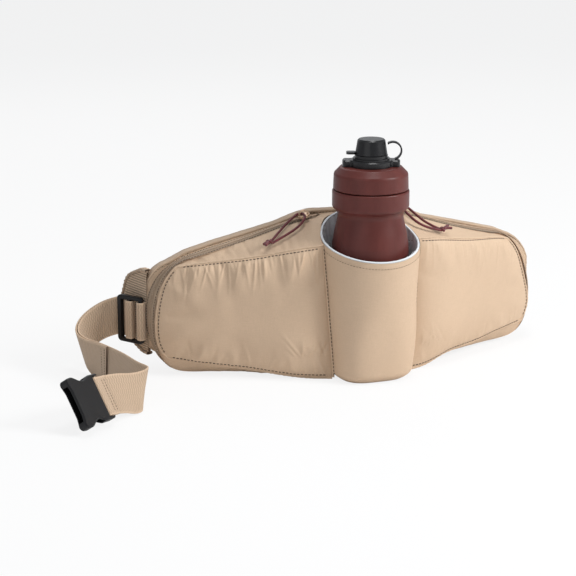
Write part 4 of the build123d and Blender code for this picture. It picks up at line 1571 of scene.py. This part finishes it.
@dataclass
class Belt:
    """Belt webbing: through the tri-glide, along its curve and sewn round the buckle's bar."""

    side: Side
    stations: tuple[tuple[tuple[float, float, float], tuple[float, float, float]], ...]
    tail: int
    turn: float
    hinge: tuple[float, float] = (210.2, 70.3)
    glide_z: float = 52.0
    width: float = 38.0
    thick: float = 1.8
    gap: float = 0.4

    def curve(self, first: int, shift: float, count: int) -> tuple[Array, Array]:
        """Lower and upper edge through the first stations, moved outside by shift.

        Args:
            first: number of stations used.
            shift: distance outside.
            count: number of points.

        Returns:
            Lower edge and upper edge.
        """
        low = np.array([p for p, _ in self.stations[:first]], float)
        lean = unit(np.array([w for _, w in self.stations[:first]], float))
        both = smooth_line(np.hstack([low, low + lean * self.width]), count)
        lower, upper = both[:, :3], both[:, 3:]
        out = unit(np.cross(np.gradient(lower + upper, axis=0), upper - lower)) * shift
        return lower + out, upper + out

    def threading(self) -> tuple[Array, Array]:
        """Webbing's way through the tri-glide: inner slot, middle bar, behind the outer bar."""
        a = math.radians(self.turn)
        along = np.array([math.cos(a), math.sin(a), 0.0])
        away = np.array([along[1], -along[0], 0.0])
        centre = np.array([*self.hinge, 0.0]) + along * 13.0 + [0, 0, self.glide_z]
        flat = rounded([(-3.3, -2.0), (-3.3, 3.6), (3.0, 3.6), (8.5, -3.6), (18.5, -3.6)],
                       (1, 1.6, 3, 3, 1), closed=False, steps=6)
        line = centre + flat[:, :1] * along + flat[:, 1:] * away
        line = line * [self.side.value, 1, 1]
        rise = np.array([0, 0, self.width / 2])
        return line - rise, line + rise

    def strip(self, name: str, lower: Array, upper: Array, nodes: Sequence[str] = ()) -> None:
        """One length of webbing between two edges.

        Args:
            name: object name.
            lower: points of its lower edge.
            upper: matching points of its upper edge.
            nodes: CAD nodes that it stands for.
        """
        section = flat_oval(1.0, self.thick, 7, 28)
        share = section[None, :, :1] + 0.5
        out = unit(np.cross(np.gradient(lower + upper, axis=0), upper - lower))
        points = lower[:, None] * (1 - share) + upper[:, None] * share + section[None, :, 1:] * out[:, None]
        piece = skin(name, points, web_map(points), (False, True), flip=True)
        self.finishes.dress(piece, "webbing")
        if nodes:
            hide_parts(*nodes)
        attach(piece, f"{self.side.word}_belt")

    def build(self, finishes: Finishes) -> None:
        """Main run, its free tail, and the sewn end round the buckle's bar.

        Args:
            finishes: the finishes to dress pieces with.
        """
        self.finishes = finishes
        word = self.side.word
        run = np.hstack(self.curve(len(self.stations), 0.0, 190))
        path = even(np.concatenate([np.hstack(self.threading()), run[3:]]), 300)
        self.strip(f"{word}_belt_web", path[:, :3], path[:, 3:], (f"{word}_belt_strap",))
        lower, upper = self.curve(self.tail, self.thick + self.gap, 90)
        self.strip(f"{word}_belt_tail", lower, upper, (f"{word}_strap_tail",))
        self.hem((lower + upper) / 2, unit(upper - lower))
        self.sewn_end()
        LOG.info("%s belt built", word)

    def hem(self, line: Array, wide: Array) -> None:
        """Stitch rows across the tail's folded end."""
        for k, at in enumerate((-4, -9)):
            across = np.linspace(-16.5, 16.5, 24)
            way = unit(line[at + 1] - line[at - 1])
            out = np.cross(way, wide[at])
            path = line[at] + across[:, None] * wide[at] + out * 1.0
            row = stitches(f"{self.side.word}_tail_stitches_{k}", path, out[None], 2.6, (1.8, 0.6, 0.5))
            self.finishes.dress(row, "webbing", "thread")
            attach(row, f"{self.side.word}_belt")

    def sewn_end(self) -> None:
        """Webbing doubled round the buckle's bar, with two rows of stitches across it."""
        low, lean = (np.array(v, float) for v in self.stations[-1])
        wide = unit(lean)
        way = unit(low - np.array(self.stations[-2][0], float))
        way = unit(way - wide * (way * wide).sum())
        out = np.cross(way, wide)
        bar = low + wide * self.width / 2 + way * 14.0
        a = np.linspace(math.radians(140), math.radians(-140), 26)
        loop = 3.2 * np.stack([np.cos(a), np.sin(a)], 1)
        flat = np.concatenate([[(-14, 0.95), (-9, 0.95)], loop, [(-9, -0.95), (-14, -0.95)]])
        flat = even(flat, 70)
        line = bar + flat[:, :1] * way + flat[:, 1:] * out
        self.strip(f"{self.side.word}_belt_loop", line - wide * self.width / 2, line + wide * self.width / 2)
        for k, at in enumerate((-12.0, -8.5)):
            for face in (1, -1):
                across = np.linspace(-17, 17, 24)
                path = bar + at * way + across[:, None] * wide + out * face * 2.0
                row = stitches(f"{self.side.word}_end_stitches_{k}{'ab'[face < 0]}", path, out[None] * face,
                               2.6, (1.9, 0.6, 0.5))
                self.finishes.dress(row, "webbing", "thread")
                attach(row, f"{self.side.word}_belt")


@dataclass
class PullCord:
    """Limp cord through the slider's bridge, closed by an overhand knot with two tails."""

    side: Side
    route: tuple[tuple[float, float, float], ...]
    knot: tuple[float, float, float]
    tails: tuple[tuple[float, float, float], ...]
    length: float
    thick: float = 2.5

    def build(self, finishes: Finishes) -> None:
        """A NURBS curve along the route, and the knot's wound tube.

        Args:
            finishes: the finishes to dress pieces with.
        """
        word, body = self.side.word, f"{self.side.word}_slider"
        curve = bpy.data.curves.new(f"{word}_cord", "CURVE")
        curve.dimensions, curve.bevel_depth, curve.bevel_resolution = "3D", self.thick / 2 * MM, 4
        curve.resolution_u, curve.use_fill_caps = 12, True
        line = curve.splines.new("NURBS")
        line.points.add(len(self.route) - 1)
        for point, place in zip(line.points, self.route):
            point.co = (*(c * MM for c in place), 1.0)
        line.order_u, line.use_endpoint_u = 3, True
        cord = bpy.data.objects.new(f"{word}_cord", curve)
        bpy.context.scene.collection.objects.link(cord)
        cord.data.materials.append(finishes.made["pull_cord"])
        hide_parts(f"{word}_pull_cord")
        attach(cord, body)
        knot = self.overhand(finishes)
        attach(knot, body)
        LOG.info("%s pull cord built", word)

    def overhand(self, finishes: Finishes) -> bpy.types.Object:
        """Knot: a trefoil (sin t + 2 sin 2t, cos t - 2 cos 2t, -sin 3t) and two cut tails.

        Args:
            finishes: the finishes to dress pieces with.

        Returns:
            The knot.
        """
        t = np.linspace(0, 2 * math.pi, 90, endpoint=False)
        loop = np.stack([np.sin(t) + 2 * np.sin(2 * t), np.cos(t) - 2 * np.cos(2 * t), -1.3 * np.sin(3 * t)], 1)
        middle = np.array(self.knot)
        way = unit(np.array(self.tails[0]) - middle)
        side = unit(np.cross(way, [0, 0, 1.0]))
        top = np.cross(side, way)
        line = middle + 0.82 * (loop[:, :1] * way + loop[:, 1:2] * side + loop[:, 2:] * top)
        a = np.linspace(0, 2 * math.pi, 10, endpoint=False)
        ring = np.stack([np.cos(a), np.sin(a)], 1) * self.thick / 2
        grids = [carried(line, ring, top, closed=True)]
        piece = skin(f"{self.side.word}_knot", grids[0], span_map(grids[0], (True, True)), (True, True))
        finishes.dress(piece, "pull_cord")
        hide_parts(f"{self.side.word}_pull_knot")
        for k, tip in enumerate(self.tails):
            tip = np.array(tip)
            path = smooth_line([middle, middle * 0.45 + tip * 0.55 + [0, 0, 0.6], tip], 16)
            grow = np.clip(np.linspace(0.98, 1.12, 16), 0, 1.2)
            grow[-1] = 0.3
            tube = carried(path, ring, top)
            tube = path[:, None] + (tube - path[:, None]) * grow[:, None, None]
            end = skin(f"{self.side.word}_knot_tail_{k}", tube, span_map(tube, (False, True)), (False, True))
            finishes.dress(end, "pull_cord")
            end.parent = piece
        return piece


@dataclass
class Bottle:
    """Squeeze bottle: body with a waist and collar, and its screw lid."""

    body: tuple[tuple[float, float], ...] = (
        (0.0, 9.6), (24, 9.4), (30, 8.4), (33.5, 8.2), (36.2, 9.8), (37.2, 13), (37.2, 60), (37.2, 121),
        (36.6, 130), (34.6, 142), (32.4, 152), (31.4, 157.6), (31.6, 159.6), (33.2, 162.6), (36.3, 165.6),
        (36.9, 167.2), (36.9, 175), (36.9, 181.6), (36.3, 182.5), (31.4, 182.6), (31.4, 195),
    )
    lid: tuple[tuple[float, float], ...] = (
        (32.0, 183.5), (35.5, 183.5), (36.0, 184.1), (35.8, 190), (35.5, 197.2), (35.0, 198.9), (33.6, 200.3),
        (29.9, 204.2), (29.0, 204.8), (27.6, 205.0), (5.0, 205.0),
    )

    def build(self, finishes: Finishes) -> None:
        """Turned surfaces, with faint panel lines and a parting line.

        Args:
            finishes: the finishes to dress pieces with.
        """
        body = even(np.array(self.body), 260)
        grid = turned(body, 128)
        angle = np.linspace(0, 2 * math.pi, 128, endpoint=False)
        seam = 0.16 * (np.exp(-((np.sin(angle - 0.4)) / 0.03) ** 2))
        grid = grid + unit(grid * [1, 1, 0.0001]) * seam[None, :, None] * [1, 1, 0]
        piece = skin("bottle_wall", grid, None, (False, True), flip=True)
        finishes.dress(piece, "bottle_plastic")
        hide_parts("bottle_body")
        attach(piece, "bottle")
        grid = turned(even(np.array(self.lid), 120), 128)
        piece = skin("lid_wall", grid, None, (False, True), flip=True)
        finishes.dress(piece, "bottle_plastic")
        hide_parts("bottle_lid")
        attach(piece, "lid")
        LOG.info("bottle built")


class Stage:
    """Floor, lamps, world and camera."""

    def build(self) -> None:
        """Everything round the object."""
        self.floor()
        self.world()
        self.lamp("key", (1.35, -1.05, 1.20), 0.7, 34)
        self.lamp("fill", (-1.5, -1.1, 0.9), 1.6, 5)
        self.lamp("rim", (0.2, 1.5, 1.3), 1.2, 6)
        self.lamp("above", (0.05, -0.10, 1.3), 0.35, 4)
        self.camera()

    def floor(self) -> None:
        """Large pale floor that camera rays see as white."""
        mesh = bpy.data.meshes.new("floor")
        size = 6.0
        mesh.from_pydata([(-size, -size, 0), (size, -size, 0), (size, size, 0), (-size, size, 0)], [], [(0, 1, 2, 3)])
        floor = bpy.data.objects.new("floor", mesh)
        bpy.context.scene.collection.objects.link(floor)
        s = Shader("pale_floor")
        cast = s.add("ShaderNodeBsdfDiffuse", {}, {"Color": (0.86, 0.86, 0.86)})
        glow = s.add("ShaderNodeEmission", {}, {"Color": (1, 1, 1), "Strength": 1.0})
        path = s.add("ShaderNodeLightPath", out="Is Camera Ray")
        both = s.add("ShaderNodeMixShader", {}, {0: path * 0.82, 1: cast, 2: glow})
        s.add("ShaderNodeOutputMaterial", {}, {"Surface": both})
        floor.data.materials.append(s.material)

    def world(self) -> None:
        """Soft grey light, seen as white by the camera."""
        world = bpy.data.worlds.new("studio")
        bpy.context.scene.world = world
        world.use_nodes = True
        tree = world.node_tree
        tree.nodes.clear()
        path = tree.nodes.new("ShaderNodeLightPath")
        plain, white = tree.nodes.new("ShaderNodeBackground"), tree.nodes.new("ShaderNodeBackground")
        plain.inputs["Color"].default_value = (0.92, 0.95, 1.0, 1)
        plain.inputs["Strength"].default_value = 0.38
        white.inputs["Strength"].default_value = 1.0
        white.inputs["Color"].default_value = (1, 1, 1, 1)
        both, out = tree.nodes.new("ShaderNodeMixShader"), tree.nodes.new("ShaderNodeOutputWorld")
        tree.links.new(path.outputs["Is Camera Ray"], both.inputs[0])
        tree.links.new(plain.outputs[0], both.inputs[1])
        tree.links.new(white.outputs[0], both.inputs[2])
        tree.links.new(both.outputs[0], out.inputs["Surface"])

    def lamp(self, name: str, place: tuple[float, float, float], size: float, power: float) -> None:
        """Square area lamp aimed at the middle of the object.

        Args:
            name: lamp name.
            place: position in metres.
            size: side in metres.
            power: watts.
        """
        data = bpy.data.lights.new(name, "AREA")
        data.energy, data.size = power, size
        lamp = bpy.data.objects.new(name, data)
        way = np.array([0, 0, 0.08]) - np.array(place)
        lamp.location = place
        lamp.rotation_euler = Vector(way.tolist()).to_track_quat("-Z", "Y").to_euler()
        bpy.context.scene.collection.objects.link(lamp)

    def camera(self) -> None:
        """Level camera turned 19 degrees to the left and tipped down 15 degrees."""
        data = bpy.data.cameras.new("camera")
        data.lens, data.sensor_width, data.clip_end = 109.375, 36.0, 20.0
        camera = bpy.data.objects.new("camera", data)
        camera.location = (-0.60687, -1.52015, 0.52290)
        camera.rotation_euler = (math.radians(75.0), 0.0, math.radians(-19.0))
        bpy.context.scene.collection.objects.link(camera)
        bpy.context.scene.camera = camera


LEFT_BELT = (
    ((-226.5, 98, 33), (0, 0, 1)), ((-236, 102, 29.5), (-0.03, -0.03, 1)),
    ((-247, 102.5, 24), (-0.1, -0.1, 1)), ((-256, 98, 16), (-0.2, -0.1, 1)),
    ((-259, 90, 8), (-0.28, -0.12, 1)), ((-257, 78, 2), (-0.2, -0.06, 1)),
    ((-253.5, 62, 0.8), (-0.1, 0, 1)), ((-251, 40, 0.8), (0.05, 0.02, 1)),
    ((-247, 10, 0.8), (0.2, 0.05, 1)), ((-242.5, -20, 0.8), (0.3, 0.1, 1)),
    ((-239, -36, 0.8), (0.3, 0.3, 1)), ((-240, -46, 1), (0.15, 0.5, 0.95)),
    ((-247, -52, 1.4), (0, 0.5, 0.9)), ((-256, -57.4, 4.6), (-0.15, 0.5, 0.86)),
    ((-265, -62.8, 7), (-0.289, 0.494, 0.82)),
)
RIGHT_BELT = (
    ((180.8, 134.6, 33), (0, 0, 1)), ((176, 141.5, 31.5), (0, 0.03, 1)),
    ((168, 146.5, 28), (0, 0.05, 1)), ((157, 147.5, 22), (0, 0.08, 1)),
    ((144, 144.5, 14), (0, 0.1, 1)), ((130, 138.5, 7), (0, 0.12, 1)),
    ((115, 130, 2), (0, 0.12, 1)), ((100, 122.5, 1), (0, 0.1, 1)),
    ((86, 117.5, 1), (0, 0.05, 1)), ((70, 116, 1.6), (0, 0.1, 1)),
    ((56, 117, 3.2), (0, 0.12, 1)),
)
LEFT_CORD = (
    (-92.2, 19.4, 132.6), (-77, 22, 138.6), (-63, 25.5, 145.4), (-54.8, 31, 151.8),
    (-54, 39, 154.3), (-57.5, 45.5, 153.4), (-64.5, 42, 150), (-77, 34, 143.6),
    (-92.2, 23, 133.4),
)
RIGHT_CORD = (
    (78.4, 10.6, 134), (66, 10.5, 137), (54, 13.5, 143), (46.4, 25, 152),
    (45.4, 38.5, 156.9), (49, 45.5, 156), (55.5, 38.5, 152.4), (60, 26, 146.3),
    (68, 17.5, 139.4), (78.4, 13.8, 134.6),
)
LEFT_POCKET = {
    "top": (
        ((48.0, -1.0, 131.3), (44, 30, 148), (14, 151.5)), ((66, 2.0, 129.4), (66, 35.5, 144.2), (58, 147.8)),
        ((86, 9.6, 125.4), (86, 37.5, 137.6), (84, 140.6)), ((112, 20.2, 120), (112, 42, 130.4), (112, 132.6)),
        ((140, 31.8, 115.4), (140, 48.5, 123.4), (140, 124.8)), ((164, 41.6, 111.9), (164, 53, 117), (164, 117.4)),
        ((180, 48, 109.3), (182, 57, 110.6), (184, 107)),
    ),
    "end": (
        ((180, 48, 109.3), (182, 57, 110.6), (184, 107)), ((189.5, 51.8, 96), (193.5, 59.5, 97), (197.5, 94.5)),
        ((196.5, 54.7, 74), (200.5, 61.5, 75), (205.5, 74)), ((199.2, 55.8, 46), (202.5, 62.5, 48), (206, 48)),
        ((196.4, 54.6, 29), (199, 61.5, 24), (200, 26.5)), ((190, 52.1, 18.6), (190, 58, 8), (190, 14)),
    ),
    "low": (
        ((190, 52.1, 18.6), (190, 58, 8), (190, 14)), ((172, 45, 15.3), (171, 53, 2), (170, 10)),
        ((155.4, 38.1, 13), (150, 47, 0), (150, 9)), ((112.2, 20.6, 7.7), (108, 36, -3), (108, 7)),
        ((70, 1.5, 1.8), (70, 22, -3), (70, 4.5)), ((41.6, -9.8, 0.8), (45, 24, -1), (18, 3.5)),
    ),
}
RIGHT_POCKET = {
    "top": (
        ((48.0, -1.6, 130.8), (44, 30, 147.5), (14, 151.5)), ((66, 2.0, 129.6), (66, 35.5, 142), (58, 145.2)),
        ((86, 9.9, 126), (86, 37.5, 134.6), (84, 137.2)), ((112, 20.5, 121), (112, 42, 127.4), (112, 129)),
        ((136, 30.2, 117.8), (138, 48, 121.4), (140, 122.2)), ((153, 37.1, 115.3), (156, 53, 117.6), (158, 117)),
        ((166, 42.3, 112.3), (171, 56, 113), (174, 110)),
    ),
    "end": (
        ((166, 42.3, 112.3), (171, 56, 113), (174, 110)), ((178.6, 47.4, 98.8), (184, 58, 101), (189, 95)),
        ((187.8, 51.1, 78.7), (194, 60, 80), (199, 76)), ((195.1, 54.1, 57), (200, 61, 57), (204.5, 56)),
        ((197.6, 55.1, 38), (201.5, 61.5, 38), (204, 38)), ((190.3, 52.1, 20.8), (191, 58, 10), (191, 17)),
    ),
    "low": (
        ((190.3, 52.1, 20.8), (191, 58, 10), (191, 17)), ((172, 45, 18.6), (171, 53, 5), (170, 13)),
        ((151.4, 36.4, 16.3), (150, 47, 2), (150, 10.5)), ((119.2, 23.4, 11.5), (112, 37, -1), (112, 8)),
        ((81.9, 8.3, 8), (78, 25, -3), (78, 5)), ((60, -1, 2.6), (62, 20, -3), (50, 4)),
        ((36.2, -8.8, 0.8), (45, 24, -1), (18, 3.5)),
    ),
}
RIGHT_INNER = (
    (36.2, -8.8, 0.8), (40.6, -7.9, 20), (43.6, -6.8, 45), (46.1, -4.1, 90), (47.9, -1.6, 130.8),
)
RIGHT_FLAP = ((-1, 21), (2, 21), (29, 31), (37.5, 52), (25.5, 68), (2, 74), (-1, 74))
KEPT = {
    "left_zip_slider": "slider_brass", "right_zip_slider": "slider_brass",
    "left_triglide": "black_acetal", "right_triglide": "black_acetal", "buckle_socket": "black_acetal",
    "buckle_plug": "black_acetal", "plug_arm_upper": "black_acetal", "plug_arm_lower": "black_acetal",
    "lid_gasket": "seal_rubber", "valve_base": "valve_plastic", "jaw_valve": "seal_rubber",
    "cap_tether": "valve_plastic", "dust_cap": "valve_plastic",
}


def main() -> None:
    """Load the frame, dress it and build every piece, in order."""
    logging.basicConfig(level=logging.INFO, format="%(name)s: %(message)s")
    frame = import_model()
    bpy.context.scene.view_settings.view_transform = "Standard"
    finishes = Finishes()
    Stage().build()
    PullCord(Side.LEFT, LEFT_CORD, (-95, 20.8, 133.4), ((-102.5, 17.2, 132), (-101, 14, 131.6)), 104.0).build(finishes)
    PullCord(Side.RIGHT, RIGHT_CORD, (81.4, 12.2, 134.4), ((91, 20.5, 135.6), (92, 13.5, 134.4)), 112.0).build(finishes)
    panel = Panel()
    panel.build(finishes)
    Sleeve().build(finishes)
    Pocket(Side.LEFT, panel, 11, LEFT_POCKET, gather=1.35).build(finishes)
    Pocket(Side.RIGHT, panel, 29, RIGHT_POCKET, inner=RIGHT_INNER, gather=0.55).build(finishes)
    Wing(Side.LEFT, panel, 71.0).build(finishes)
    Wing(Side.RIGHT, panel, 118.0, profile=RIGHT_FLAP, hinge=(198.3, 109.3), start=(199.3, 100.7)).build(finishes)
    Belt(Side.LEFT, LEFT_BELT, 8, 54.0).build(finishes)
    Belt(Side.RIGHT, RIGHT_BELT, 6, 118.0, hinge=(198.3, 109.3)).build(finishes)
    Bottle().build(finishes)
    for name, slot in KEPT.items():
        finishes.recoat(frame["nodes"][name], slot)


if __name__ == "__main__":
    main()
